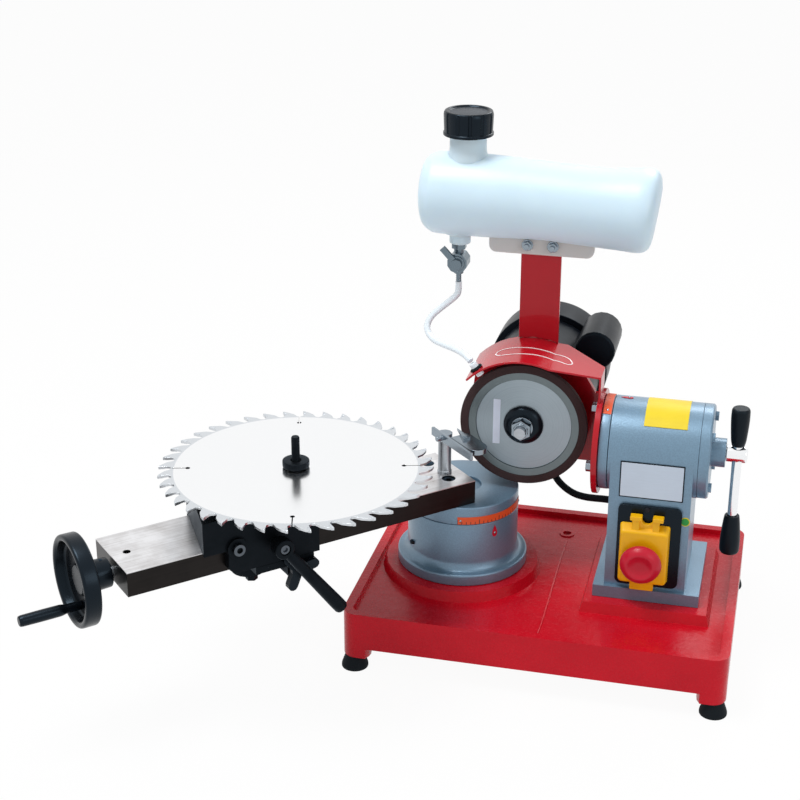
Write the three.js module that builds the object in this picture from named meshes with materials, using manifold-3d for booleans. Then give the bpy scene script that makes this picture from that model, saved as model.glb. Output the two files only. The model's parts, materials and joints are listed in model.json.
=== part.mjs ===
// Saw blade sharpening machine, in millimetres with +Z up.
// The origin is on the ground under the middle of the base, X runs along the base's front edge
// and Y runs away from the front. Everything on the swinging rail is drawn in the rail's own frame.

import * as THREE from "three";
import { mergeVertices } from "three/addons/utils/BufferGeometryUtils.js";
import Module from "manifold-3d";

const wasm = await Module();
wasm.setup();

// Shared clearances and counts
const gap = 0.3;
const overrun = 2;
const weld = 0.0005;
const roundSides = 20;
const wideSides = 28;
const smallSides = 10;
const bearingSides = 14;
const grooveSides = 8;
const hexagonSides = 6;
const curveSteps = 5;

// Base casting, its rubber feet and its two raised seats
const base = {
  length: 367, width: 267, rimTop: 63, floorTop: 57.5, deck: 6, skirtBottom: 25.5, legBottom: 15,
  wall: 6, rimWidth: 9, corner: 14, legSpan: 24, padRadius: 16.4,
};
const foot = { inset: 11, radius: 13, topRadius: 9, band: 3 };
const roundSeat = { radius: 80, topRadius: 76.5, top: 67.5 };
const standSeat = { left: 35.2, right: 161.5, front: -68, back: 80, draft: 4.5 };
const drain = { x: 2, y: 88.5, radius: 4.5, lipRadius: 8, lip: 1.2 };

// Turntable column and the ring that turns on it
const turntable = { x: -92.5, radius: 55, ringTop: 148.1, ringHeight: 18.2, edge: 1.4 };
const column = {
  flangeRadius: 65, flangeHeight: 11.5, flangeEdge: 2, fillet: 4, pivotRadius: 17.7, pivotHeight: 16,
};
const filletShare = 0.3;

// Rail: x is measured from the turntable axis, negative towards the handwheel
const rail = {
  angle: 44.4, offset: -4.9, left: -373, right: -13.5, width: 74, height: 23.7, slotWidth: 26, slotDepth: 17,
  slotLeft: -355, slotRight: -45, oilHoleRadius: 3.7, oilHoleInset: 15,
};
const railScrew = {
  x: -33, side: 19.5, headRadius: 6.5, headHeight: 7, sunk: 1.5, shankRadius: 3.3, socketRadius: 3.25,
};
const leadScrew = { height: 157, radius: 5, journalRadius: 6, tailLength: 8, wheelEnd: -397 };
const handwheel = {
  radius: 42.5, rimWidth: 6.5, rimThickness: 15.2, hubRadius: 13.5, hubBack: -376.3, hubLength: 29,
  rimBack: -397.8, web: 4, dish: 1, edge: 2.5,
};
const crankGrip = {
  radius: 5.4, neckRadius: 4.2, pinRadius: 3, throw: 25.5, length: 48, neck: 17, edge: 1.2,
};

// Carriage that straddles the rail
const carriage = {
  left: -304, right: -166, skew: 24, halfWidth: 46, top: 205, cheekLeft: -280, cheekRight: -189,
  cheekCorner: 5, sideGap: 0.4, bossRadius: 10, bossHeight: 3,
};
const keeper = {
  left: -254, right: -195, thickness: 7, bossX: -240.5, bossRadius: 16, bossHeight: 19.5,
  boltRadius: 5.8, boltX: -237.5, boltHeight: 11, lugSide: 8, lugDepth: 24, lugDrop: 7,
};
const leadNut = { left: -252.5, right: -228.5 };
const cheekScrew = { x: -272, z: 174, radius: 5.5, height: 4, socketRadius: 2.75, socketDepth: 2 };
const clampLever = {
  x: -233.5, z: 170, shankRadius: 4, spacerRadius: 5.2, standOff: 8, hubRadius: 9.5, hubLength: 12,
  reach: 50.7, drop: 69.2, lean: 16, neckRadius: 5.4, tipRadius: 6.8,
};
const starKnob = {
  x: -214.4, z: 138.4, shankRadius: 3, shankLength: 16, hubRadius: 7, lobeRadius: 4.8, reach: 16.5,
  thickness: 7, lobes: 3, turn: 8,
};

// Blade seat, saw blade and its nut
const seat = {
  x: -188, flangeRadius: 30, flangeHeight: 6.4, shankRadius: 6, shankLength: 19, pilotRadius: 7.7,
  studRadius: 4, studTop: 245,
};
const blade = {
  radius: 127.5, gulletRadius: 114.5, boreRadius: 8, thickness: 2.2, teeth: 40, slotWidth: 1,
  slotEndRadius: 100, slotHoleRadius: 2.2, slots: 4, slotTurn: -119,
};
// Each tooth corner as shares of the tooth height and of the tooth pitch, starting at the tip
const toothShares = [[1, 0], [0.25, -0.06], [0, 0.1], [0.06, 0.27], [0.5, 0.46], [0.86, 0.76]];
const slotShare = 0.15;
const clampNut = { radius: 12.7, height: 7, edge: 1, seatRadius: 9, seatHeight: 1 };

// Tooth stop on the rail's inner end
const stopPost = { x: -29, side: -5.5, radius: 7, height: 37.6, edge: 1 };
const stopArm = {
  left: -38, thickness: 3, back: 5, front: -65, height: 8, capRadius: 7.5, capHeight: 4.2, screwRadius: 2.8,
  screwLength: 6, screwSide: -14,
};
const stopFinger = {
  width: 20, back: -25, front: -65, bottom: 213.5, thickness: 5, tipBack: -14, tipWidth: 8, tipHeight: 2.2,
  tipRoot: -38, rivetRadius: 2.6, rivetHeight: 1.5, rivetSide: -35,
};

// Stand casting with the horizontal housing, and its end cap
const housing = { left: 54, right: 137.6, z: 210, radius: 45.7, bore: 30.3 };
const stand = {
  footLeft: 46.7, footRight: 148.2, footFront: -50.7, footBack: 62.9, footTop: 80, left: 57, right: 134,
  wall: 6, cavityTop: 164,
};
const endCap = {
  thickness: 9.9, spigot: 7, edge: 1.5, bossRadius: 14, bossLength: 13, boltCircle: 36.6, boltRadius: 5,
  boltHeight: 3, bolts: 4, boltTurn: 45,
};
const inlet = { z: 118, radius: 9, bore: 4.5, outside: 14, inside: 8, collarRadius: 11, collar: 5 };
const leadHole = { y: 30, z: 132, radius: 5 };

// Switch on the stand's front
const switchPlate = { left: 67, right: 127, bottom: 84, top: 169, thickness: 3.5, margin: 5, depth: 24 };
const button = { radius: 7, proud: 1.5, length: 7, boreDepth: 6, x: 92.5, offZ: 116, startZ: 140 };
const flipCover = {
  left: 68, right: 122, bottom: 87, top: 162, depth: 10.2, wall: 3, roomTop: 151, stemBore: 7.2, lugLeft: 79,
  lugRight: 110, lugWidth: 6, lugBottom: 146, lugProud: 3, tabLeft: 79, tabRight: 100, tabDrop: 4,
};
const stopKnob = { radius: 19.5, headHeight: 9, rimHeight: 4, stemRadius: 6.5, standOff: 6 };
// Corners of the knob's dome as shares of its radius and of the dome's height
const domeShares = [[0.5, 0.12], [0.82, 0.5]];

// Feed quill, cam spindle and the two-armed feed lever
const quill = { radius: 30, back: 116, spigotRadius: 20, spigotFront: 37.5, boreRadius: 12, boreFront: 66 };
const cam = {
  radius: 24, left: 117, thickness: 13, spindleRadius: 7, neckRadius: 4.5, neckEnd: 176, shoulder: 160.6,
};
const feedLever = {
  x: 171.5, hubRadius: 8, hubLeft: 161.3, hubRight: 181, rodRadius: 4.7, rodUp: 16, rodDown: -72,
};
// Each grip starts at its bored end and ends at its flat one, both counted from the lever's axis
const upperGrip = { start: 9, end: 47.5, radius: 8.9, neckRadius: 6, rodEnd: feedLever.rodUp };
const lowerGrip = { start: -64.5, end: -104.5, radius: 9.8, neckRadius: 7, rodEnd: feedLever.rodDown };
// Corners of a grip as shares of its length and of its radius
const gripShares = [[0.12, 0.8], [0.4, 0.92], [0.7, 1], [0.94, 0.97], [1, 0.86]];

// Grinding head: x and z of the wheel axis
const wheelAxis = { x: -34.3, z: 217.7 };
const tiltRing = { left: 44.3, right: 53.4 };
const bracket = {
  flangeLeft: 38.7, flangeRadius: 51, plateFront: 28, plateBack: 34, lowRadius: 58, highRadius: 71.7,
  webBottom: 174, shaftHole: 22, boltCircle: 39.3, boltRadius: 5, boltHeight: 5, boltTurn: 15, bolts: 4,
};
const guard = {
  radius: 72, sheet: 2, front: -20, back: 50, startAngle: 137, endAngle: 69, tabX: 41.5, tabTop: 283,
  trimX: -2, trimY: 6,
};
const post = { left: -48.9, right: -9.9, thickness: 4, top: 392 };
const motor = {
  back: 150, radius: 56, shell: 4, frontWall: 6, frontEdge: 2, frontBore: 9, boreRadius: 14.3,
};
const endShield = { thickness: 8, boreRadius: 14.3 };
const fanCover = { back: 200, radius: 62, shell: 2, edge: 6, ventRadius: 4, vents: 8, ventCircle: 34 };
const stator = { outer: 51.2, inner: 33.5, front: 62, back: 118 };
const rotor = {
  radius: 32.7, shaftRadius: 7, fanRadius: 50, fanFront: 162, fanThickness: 9, shaftBack: 176,
  threadRadius: 5.5, shaftFront: -21,
};
const bearing = { outer: 14, inner: 7.3, width: 9, frontY: 40.5 };
const capacitor = {
  radius: 20, standOff: 78, turn: 47, front: 76, back: 146, edge: 2, dome: 9, floorDrop: 16, padHalf: 12,
};
// Corners of the capacitor's dome as shares of its radius and of the dome's length left behind them
const capacitorShares = [[0.86, 0.35], [0.45, 0]];
const innerFlange = { radius: 24, hubRadius: 13, spigotRadius: 15.7, spigot: 6, back: 25, thickness: 5 };
const wheel = {
  radius: 62.5, thickness: 13, bore: 16, faceWidth: 8, ringInner: 47.2, ringDrop: 1.2, dishDrop: 2,
  bodyThickness: 6, backRadius: 30,
};
const outerFlange = { radius: 19.5, thickness: 6.5, faceRadius: 15, bevel: 3 };
const arborNut = { radius: 10.4, height: 11, crown: 2, crownRadius: 7.5, crownRoot: 4 };

// Coolant tank, its cap, tap and hose
const tank = {
  y: 43, middle: 430, wall: 3, corner: 7, neckX: -102, neckRadius: 17.5, neckTop: 492, neckBore: 14,
  webLeft: -79, webRight: 22, webBottom: 379.6, webThickness: 9, webBack: 45.5, outletX: -108.5,
  outletRadius: 10.3, outletBottom: 384.5, rootTop: 400, left: -145, right: 73, radius: 40, lean: 7,
};
// Each ring of the tank: shares of its length, its greatest radius and its lean, and the drop of its
// centre below the middle as a share of that radius
const tankShares = [
  [0, 0.6, 0, -0.0875], [0.01345, 0.8, 0, -0.0875], [0.04036, 0.92, 0, -0.0875],
  [0.0852, 0.9825, 0, -0.0875],
  [0.30045, 0.9825, 0, -0.075], [0.52466, 0.9325, 0, -0.05], [0.76233, 0.9375, 0.286, 0.02],
  [0.89686, 0.975, 0.714, 0.025], [0.96413, 1, 1, 0.025], [0.98879, 0.9375, 1, 0.025], [1, 0.8, 1, 0.025],
];
const tankCap = {
  radius: 24, height: 23, wall: 3, bottom: 491.6, edge: 2, dishRadius: 18, rimRadius: 20, grooves: 12,
  grooveRadius: 2.2, grooveOut: 1.1,
};
const tap = {
  x: -109.3, bodyZ: 366, bodyRadius: 10, bodyFront: 33.5, bodyBack: 51, stemRadius: 5, nutRadius: 7.5,
  barbRadius: 2.3, collarRadius: 4.6, collarDrop: 12.3, nutHeight: 5, barbBottom: 345,
};
const tapLever = { reach: 21, width: 6, thickness: 3, turn: 133, hubRadius: 5.5, hubHeight: 2 };
const nozzle = {
  y: -10, turn: 127.5, grommetRadius: 6.5, bodyRadius: 4, bore: 1.8, outside: 7, inside: 5, collar: 2.5,
  hoseGap: 2.3,
};
const hose = { radius: 3.2, sides: 8, steps: 24 };
// The hose's points, first counted from the tap's spout and then from the nozzle's mouth
const hoseFromTap = [
  [0, 0, 0], [0, 0, -7], [-1.3, -0.6, -13.5], [-8.7, -2, -21], [-17.7, -5, -28.5], [-25.2, -9, -36],
  [-28.2, -13, -44],
];
const hoseToNozzle = [
  [-49.3, 35, 10.5], [-42.3, 29.5, 6.5], [-32.3, 23.5, 5.3], [-21.3, 17, 4.8], [-11.8, 10.5, 3.8],
  [-5.3, 5.5, 2], [-0.8, 2, -0.6],
];
const leadGland = { x: -20, y: 84, radius: 6, bottom: 162.3 };
const motorLead = { radius: 3.6, sides: 8, steps: 18, inside: 20 };
// The lead's points, first counted from the motor's gland and then from the hole in the stand
const leadFromGland = [
  [0, 0, 0], [0, 0, -9], [1.5, -2, -19], [6, -6.5, -28.5], [13, -12.5, -35.5], [22.5, -20, -39.5],
  [33, -28, -40.5],
];
const leadToHole = [[-33, 18, -8.5], [-23, 10.5, -5], [-14, 4, -1.6], [-7, 0.6, 0], [0, 0, 0]];

// Colours and finishes
const finish = {
  redPaint: { color: 0xc4141c, roughness: 0.3, metalness: 0 },
  greyPaint: { color: 0x7d8c95, roughness: 0.42, metalness: 0.3 },
  darkSteel: { color: 0x4a4745, roughness: 0.45, metalness: 0.8 },
  brightSteel: { color: 0xc9ccd0, roughness: 0.25, metalness: 1 },
  chrome: { color: 0xe2e5e8, roughness: 0.1, metalness: 1 },
  blackOxide: { color: 0x16171a, roughness: 0.4, metalness: 0.4 },
  blackPlastic: { color: 0x0f1013, roughness: 0.35, metalness: 0 },
  blackRubber: { color: 0x0c0c0d, roughness: 0.8, metalness: 0 },
  bronze: { color: 0x9a7440, roughness: 0.4, metalness: 0.9 },
  core: { color: 0x6f7378, roughness: 0.5, metalness: 0.7 },
  tankPlastic: { color: 0xdfeaf2, roughness: 0.35, metalness: 0 },
  hosePlastic: { color: 0xdbe6ee, roughness: 0.2, metalness: 0 },
  redPlastic: { color: 0xc61f2b, roughness: 0.3, metalness: 0 },
  yellowPlastic: { color: 0xe3b400, roughness: 0.35, metalness: 0 },
  greenPlastic: { color: 0x1f8a3d, roughness: 0.35, metalness: 0 },
};
const materials = Object.fromEntries(
  Object.entries(finish).map(([name, values]) => [name, new THREE.MeshStandardMaterial(values)]),
);

// Derived places
const halfTurn = Math.PI;
const radians = THREE.MathUtils.degToRad;
const railBottom = turntable.ringTop + gap;
const railTop = railBottom + rail.height;
const keeperTop = railBottom - gap;
const cheekFront = rail.offset - carriage.halfWidth;
const cheekBack = rail.offset + carriage.halfWidth;
const railFront = rail.offset - rail.width / 2;
const railBack = rail.offset + rail.width / 2;
const bladeBottom = carriage.top + gap + seat.flangeHeight + gap;
const bladeTop = bladeBottom + blade.thickness;
const plateFront = -housing.radius - switchPlate.thickness;
const postFront = tank.webBack + gap;

// Solids from three.js geometries

// Any closed geometry as a solid, with its faces turned outwards
function solid(geometry) {
  const bare = new THREE.BufferGeometry();
  bare.setAttribute("position", geometry.attributes.position.clone());
  if (geometry.index) bare.setIndex(geometry.index.clone());
  const merged = mergeVertices(bare, weld);
  const place = merged.attributes.position;
  const index = merged.index.array;
  const corners = [];
  let volume = 0;
  const a = new THREE.Vector3();
  const b = new THREE.Vector3();
  const c = new THREE.Vector3();
  for (let i = 0; i < index.length; i += 3) {
    const [p, q, r] = [index[i], index[i + 1], index[i + 2]];
    if (p === q || q === r || r === p) continue;
    corners.push(p, q, r);
    a.fromBufferAttribute(place, p);
    b.fromBufferAttribute(place, q);
    c.fromBufferAttribute(place, r);
    volume += a.dot(b.cross(c));
  }
  if (volume < 0) corners.reverse();
  return new wasm.Manifold(new wasm.Mesh({
    numProp: 3,
    vertProperties: new Float32Array(place.array),
    triVerts: new Uint32Array(corners),
  }));
}

// A solid back as a geometry for a mesh
function shell(body) {
  const mesh = body.getMesh();
  const geometry = new THREE.BufferGeometry();
  geometry.setAttribute("position", new THREE.BufferAttribute(mesh.vertProperties, mesh.numProp));
  geometry.setIndex(new THREE.BufferAttribute(mesh.triVerts, 1));
  geometry.computeVertexNormals();
  return geometry;
}

function join(...bodies) {
  return bodies.reduce((whole, body) => whole.add(body));
}

function cut(body, ...cutters) {
  return cutters.reduce((rest, cutter) => rest.subtract(cutter), body);
}

// The radius of a faceted bar that clears a round piece inside it all the way round
function clearOf(radius, sides = roundSides) {
  return (radius + gap) / Math.cos(halfTurn / sides);
}

// A block between low and high values on each axis
function block([x0, x1], [y0, y1], [z0, z1]) {
  const geometry = new THREE.BoxGeometry(x1 - x0, y1 - y0, z1 - z0);
  geometry.translate((x0 + x1) / 2, (y0 + y1) / 2, (z0 + z1) / 2);
  return solid(geometry);
}

// Turns a geometry made along Y so that it runs along the named axis, then moves it
function along(geometry, axis, [x, y, z]) {
  if (axis === "x") geometry.rotateZ(-halfTurn / 2);
  if (axis === "z") geometry.rotateX(halfTurn / 2);
  geometry.translate(x, y, z);
  return geometry;
}

// A round bar along an axis, or a cone where the two radii differ
function bar(axis, radius, [from, to], centre, sides = roundSides, endRadius = radius) {
  const geometry = new THREE.CylinderGeometry(endRadius, radius, to - from, sides);
  geometry.translate(0, (from + to) / 2, 0);
  return solid(along(geometry, axis, centre));
}

// A turned shape: the profile lists radius and place along the axis
function turned(axis, profile, centre, sides = roundSides) {
  const first = profile[0];
  const last = profile[profile.length - 1];
  const closed = first[0] === 0 && last[0] === 0 ? profile : [...profile, first];
  const points = closed.map(([radius, place]) => new THREE.Vector2(radius, place));
  return solid(along(new THREE.LatheGeometry(points, sides), axis, centre));
}

// A flat outline pushed along an axis; its own x and y lie on the other two
const outlineAxes = {
  x: [new THREE.Vector3(0, 1, 0), new THREE.Vector3(0, 0, 1), new THREE.Vector3(1, 0, 0)],
  y: [new THREE.Vector3(1, 0, 0), new THREE.Vector3(0, 0, 1), new THREE.Vector3(0, -1, 0)],
  z: [new THREE.Vector3(1, 0, 0), new THREE.Vector3(0, 1, 0), new THREE.Vector3(0, 0, 1)],
};
function plate(axis, outline, [from, to]) {
  const options = { depth: to - from, bevelEnabled: false, curveSegments: curveSteps };
  const geometry = new THREE.ExtrudeGeometry(outline, options);
  geometry.translate(0, 0, axis === "y" ? -to : from);
  geometry.applyMatrix4(new THREE.Matrix4().makeBasis(...outlineAxes[axis]));
  return solid(geometry);
}

function polygon(points) {
  return new THREE.Shape(points.map(([x, y]) => new THREE.Vector2(x, y)));
}

// A rectangle with round corners, about the origin
function roundedRectangle(length, width, corner) {
  const [x, y] = [length / 2, width / 2];
  const shape = new THREE.Shape();
  shape.moveTo(x - corner, -y);
  shape.absarc(x - corner, -y + corner, corner, -halfTurn / 2, 0);
  shape.absarc(x - corner, y - corner, corner, 0, halfTurn / 2);
  shape.absarc(-x + corner, y - corner, corner, halfTurn / 2, halfTurn);
  shape.absarc(-x + corner, -y + corner, corner, -halfTurn, -halfTurn / 2);
  return shape;
}

// A block whose top is smaller than its foot by the draft on every side
function drafted([x0, x1], [y0, y1], [z0, z1], draft) {
  const geometry = new THREE.BoxGeometry(x1 - x0, y1 - y0, z1 - z0);
  geometry.translate((x0 + x1) / 2, (y0 + y1) / 2, (z0 + z1) / 2);
  const place = geometry.attributes.position;
  const [middleX, middleY, middleZ] = [(x0 + x1) / 2, (y0 + y1) / 2, (z0 + z1) / 2];
  for (let i = 0; i < place.count; i += 1) {
    if (place.getZ(i) < middleZ) continue;
    place.setX(i, place.getX(i) - Math.sign(place.getX(i) - middleX) * draft);
    place.setY(i, place.getY(i) - Math.sign(place.getY(i) - middleY) * draft);
  }
  return solid(geometry);
}

// A skin over rings of points, each ring with as many points as the next
function lofted(rings) {
  const count = rings[0].length;
  const points = rings.flat();
  const index = [];
  for (let ring = 0; ring < rings.length - 1; ring += 1) {
    for (let i = 0; i < count; i += 1) {
      const [a, b] = [ring * count + i, ring * count + ((i + 1) % count)];
      index.push(a, b, b + count, a, b + count, a + count);
    }
  }
  const last = (rings.length - 1) * count;
  for (let i = 1; i < count - 1; i += 1) {
    index.push(0, i + 1, i);
    index.push(last, last + i, last + i + 1);
  }
  const geometry = new THREE.BufferGeometry().setFromPoints(points);
  geometry.setIndex(index);
  return solid(geometry);
}

// A round tube along a list of points
function tube(route, radius, sides, steps) {
  const path = new THREE.CatmullRomCurve3(route.map((point) => new THREE.Vector3(...point)));
  const ring = new THREE.Shape();
  for (let i = 0; i < sides; i += 1) {
    const angle = (2 * halfTurn * i) / sides;
    const [x, y] = [radius * Math.cos(angle), radius * Math.sin(angle)];
    if (i === 0) ring.moveTo(x, y);
    else ring.lineTo(x, y);
  }
  return solid(new THREE.ExtrudeGeometry(ring, { steps, extrudePath: path }));
}

function around(count, turn, make) {
  return Array.from({ length: count }, (_, i) => make(radians(turn) + (2 * halfTurn * i) / count));
}

function piece(name, body, material, parent) {
  const mesh = new THREE.Mesh(shell(body), material);
  mesh.name = name;
  parent.add(mesh);
  return mesh;
}

// Base

function baseCasting() {
  const [x, y] = [base.length / 2, base.width / 2];
  const underDeck = base.floorTop - base.deck;
  const under = base.legBottom - overrun;
  const inset = (distance) => roundedRectangle(2 * (x - distance), 2 * (y - distance),
    base.corner - distance);
  const outer = plate("z", inset(0), [base.legBottom, base.rimTop]);
  const hollow = plate("z", inset(base.wall), [under, underDeck]);
  const pocket = plate("z", inset(base.rimWidth), [base.floorTop, base.rimTop + overrun]);
  const archSpan = [under, base.skirtBottom];
  const longArch = block([base.legSpan - x, x - base.legSpan], [-y - overrun, y + overrun], archSpan);
  const shortArch = block([-x - overrun, x + overrun], [base.legSpan - y, y - base.legSpan], archSpan);
  const padSpan = [base.legBottom, base.floorTop];
  const pads = footPlaces().map((place) => bar("z", base.padRadius, padSpan, place).intersect(outer));
  const tray = cut(join(cut(outer, hollow, longArch, shortArch), ...pads), pocket);
  const low = base.floorTop - base.deck / 2;
  const columnSeat = turned("z", [[0, low], [roundSeat.radius, low], [roundSeat.radius, base.floorTop],
    [roundSeat.topRadius, roundSeat.top], [0, roundSeat.top]], [turntable.x, 0, 0], wideSides);
  const footSeat = drafted([standSeat.left, standSeat.right], [standSeat.front, standSeat.back],
    [low, roundSeat.top], standSeat.draft);
  const lip = bar("z", drain.lipRadius, [low, base.floorTop + drain.lip], [drain.x, drain.y, 0], smallSides);
  const hole = bar("z", drain.radius, [underDeck - overrun, base.rimTop], [drain.x, drain.y, 0], smallSides);
  return cut(join(tray, columnSeat, footSeat, lip), hole);
}

function footPlaces() {
  const [x, y] = [base.length / 2 - foot.inset, base.width / 2 - foot.inset];
  return [[-x, -y, 0], [x, -y, 0], [-x, y, 0], [x, y, 0]];
}

function rubberFoot(place) {
  return turned("z", [[0, 0], [foot.radius, 0], [foot.radius, foot.band], [foot.topRadius,
    base.legBottom - gap],
    [0, base.legBottom - gap]], place);
}

// Turntable

function turntableColumn() {
  const bottom = roundSeat.top + gap;
  const flangeTop = bottom + column.flangeHeight;
  const top = turntable.ringTop - turntable.ringHeight - gap;
  const { flangeRadius, flangeEdge, fillet } = column;
  return turned("z", [[0, bottom], [flangeRadius, bottom], [flangeRadius, flangeTop - flangeEdge],
    [flangeRadius - flangeEdge, flangeTop], [turntable.radius + fillet, flangeTop],
    [turntable.radius + fillet * filletShare, flangeTop + fillet * filletShare],
    [turntable.radius, flangeTop + fillet], [turntable.radius, top], [column.pivotRadius, top],
    [column.pivotRadius, top + column.pivotHeight], [0, top + column.pivotHeight]], [turntable.x, 0, 0],
    wideSides);
}

function turntableRing() {
  const bottom = turntable.ringTop - turntable.ringHeight;
  const inner = column.pivotRadius + gap;
  const { radius, ringTop, edge } = turntable;
  return turned("z", [[inner, bottom], [radius, bottom], [radius, ringTop - edge], [radius - edge, ringTop],
    [inner, ringTop]], [0, 0, 0], wideSides);
}

// Rail with its lead screw and handwheel

function railBar() {
  const screwLine = [0, rail.offset, leadScrew.height];
  const body = block([rail.left, rail.right], [railFront, railBack], [railBottom, railTop]);
  const slotSide = rail.slotWidth / 2;
  const slot = block([rail.slotLeft, rail.slotRight], [rail.offset - slotSide, rail.offset + slotSide],
    [railBottom - overrun, railBottom + rail.slotDepth]);
  const headHole = bar("x", leadScrew.journalRadius + gap, [rail.left - overrun,
    rail.slotLeft + overrun], screwLine);
  const tailEnd = rail.slotRight + leadScrew.tailLength + gap;
  const tailHole = bar("x", leadScrew.radius + gap, [rail.slotRight - overrun, tailEnd], screwLine);
  const oilHole = bar("z", rail.oilHoleRadius, [leadScrew.height, railTop + overrun],
    [rail.left + rail.oilHoleInset, rail.offset, 0], smallSides);
  const screwPlace = [railScrew.x, rail.offset - railScrew.side, 0];
  const headSink = railTop - railScrew.sunk - railScrew.headHeight - gap;
  const screwSink = bar("z", railScrew.headRadius + gap, [headSink, railTop + overrun], screwPlace);
  const screwHole = bar("z", railScrew.shankRadius + gap, [railBottom - overrun, railTop], screwPlace);
  return cut(body, slot, headHole, tailHole, oilHole, screwSink, screwHole);
}

function railFixingScrew() {
  const headBottom = railTop - railScrew.sunk - railScrew.headHeight;
  const place = [railScrew.x, rail.offset - railScrew.side, 0];
  const headMiddle = headBottom + railScrew.headHeight / 2;
  const socket = bar("z", railScrew.socketRadius, [headMiddle, railTop], place, hexagonSides);
  const head = bar("z", railScrew.headRadius, [headBottom, headBottom + railScrew.headHeight], place);
  const shank = bar("z", railScrew.shankRadius, [railBottom + gap, headBottom + gap], place, smallSides);
  return cut(join(head, shank), socket);
}

function leadScrewShaft() {
  const tail = rail.slotRight + leadScrew.tailLength;
  const step = rail.slotLeft + gap;
  const start = rail.left - gap;
  const { radius, journalRadius, wheelEnd } = leadScrew;
  return turned("x", [[0, wheelEnd], [radius, wheelEnd], [radius, start], [journalRadius, start],
    [journalRadius, step], [radius, step], [radius, tail], [0, tail]],
  [0, rail.offset, leadScrew.height], smallSides);
}

function handwheelDisc() {
  const { radius, rimWidth, rimThickness, hubRadius, hubBack, hubLength, rimBack, web, dish,
    edge } = handwheel;
  const bore = leadScrew.radius + gap;
  const boreEnd = leadScrew.wheelEnd - gap;
  const front = hubBack - hubLength;
  const rimFront = rimBack - rimThickness;
  const rimInner = radius - rimWidth;
  const profile = [[0, boreEnd], [bore, boreEnd], [bore, hubBack], [hubRadius, hubBack],
    [hubRadius + edge, rimBack - dish], [rimInner, rimBack - dish], [rimInner + edge, rimBack],
    [radius - edge, rimBack], [radius, rimBack - edge],
    [radius, rimFront + edge], [radius - edge, rimFront], [rimInner + edge / 2, rimFront],
    [rimInner - edge / 2, rimBack - dish - web], [hubRadius, rimBack - dish - web],
    [hubRadius, front + edge / 2], [hubRadius - edge / 2, front], [0, front]];
  const disc = turned("x", profile, [0, rail.offset, leadScrew.height], wideSides);
  const pinHole = bar("x", crankGrip.pinRadius + gap, [rimFront - overrun, rimBack + overrun],
    [0, rail.offset, leadScrew.height - crankGrip.throw], smallSides);
  return cut(disc, pinHole);
}

function crankGripBody() {
  const start = handwheel.rimBack - handwheel.dish - handwheel.web - gap;
  const end = handwheel.rimBack - handwheel.rimThickness - crankGrip.length;
  const { radius, neckRadius, pinRadius, neck, edge } = crankGrip;
  return turned("x", [[0, handwheel.rimBack - gap], [pinRadius, handwheel.rimBack - gap], [pinRadius, start],
    [neckRadius, start], [neckRadius, start - neck], [radius, start - neck - edge], [radius, end + edge],
    [radius - edge, end], [0, end]], [0, rail.offset, leadScrew.height - crankGrip.throw], smallSides);
}

// Carriage

function carriageBlock() {
  const bottom = railTop + gap;
  const plan = polygon([[carriage.left, cheekFront], [carriage.right, cheekFront],
    [carriage.right, cheekBack], [carriage.left + carriage.skew, cheekBack]]);
  const body = plate("z", plan, [bottom, carriage.top]);
  const cheekBottom = keeperTop + gap;
  const front = [cheekFront, railFront - carriage.sideGap];
  const back = [railBack + carriage.sideGap, cheekBack];
  const { cheekLeft, cheekRight, cheekCorner } = carriage;
  const side = polygon([[cheekLeft + cheekCorner, cheekBottom], [cheekRight, cheekBottom],
    [cheekRight, bottom + gap], [cheekLeft, bottom + gap], [cheekLeft, cheekBottom + cheekCorner]]);
  const bossFront = cheekFront - carriage.bossHeight;
  const screwPlace = [cheekScrew.x, 0, cheekScrew.z];
  const boss = bar("y", carriage.bossRadius, [bossFront, railFront - carriage.sideGap], screwPlace);
  const screwFront = bossFront - cheekScrew.height;
  const screw = bar("y", cheekScrew.radius, [screwFront, bossFront + gap], screwPlace, smallSides);
  const socketSpan = [screwFront - overrun, screwFront + cheekScrew.socketDepth];
  const socket = bar("y", cheekScrew.socketRadius, socketSpan, screwPlace, hexagonSides);
  const leverLine = [clampLever.x, 0, clampLever.z];
  const spacerFront = cheekFront - clampLever.standOff;
  const spacer = bar("y", clampLever.spacerRadius, [spacerFront, cheekFront + gap], leverLine);
  const shankSpan = [spacerFront - overrun, railFront];
  const shankHole = bar("y", clampLever.shankRadius + gap, shankSpan, leverLine, smallSides);
  const seatSpan = [carriage.top - seat.shankLength - gap, carriage.top + overrun];
  const seatHole = bar("z", seat.shankRadius + gap, seatSpan, [seat.x, rail.offset, 0]);
  const solidPart = join(body, plate("y", side, front), plate("y", side, back), boss, screw, spacer);
  return cut(solidPart, socket, shankHole, seatHole);
}

function carriageKeeper() {
  const bottom = keeperTop - keeper.thickness;
  const body = block([keeper.left, keeper.right], [cheekFront, cheekBack], [bottom, keeperTop]);
  const place = [keeper.bossX, rail.offset, 0];
  const bossBottom = bottom - keeper.bossHeight;
  const boss = bar("z", keeper.bossRadius, [bossBottom, bottom + gap], place);
  const boltSpan = [bossBottom - keeper.boltHeight, bossBottom + gap];
  const bolt = bar("z", keeper.boltRadius, boltSpan, [keeper.boltX, rail.offset, 0], hexagonSides);
  const lug = block([starKnob.x - keeper.lugSide, starKnob.x + keeper.lugSide],
    [cheekFront, cheekFront + keeper.lugDepth], [starKnob.z - keeper.lugDrop, bottom + gap]);
  const holeEnd = cheekFront + starKnob.shankLength + gap;
  const knobHole = bar("y", starKnob.shankRadius + gap, [cheekFront - overrun, holeEnd],
    [starKnob.x, 0, starKnob.z], smallSides);
  return cut(join(body, boss, bolt, lug), knobHole);
}

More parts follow.
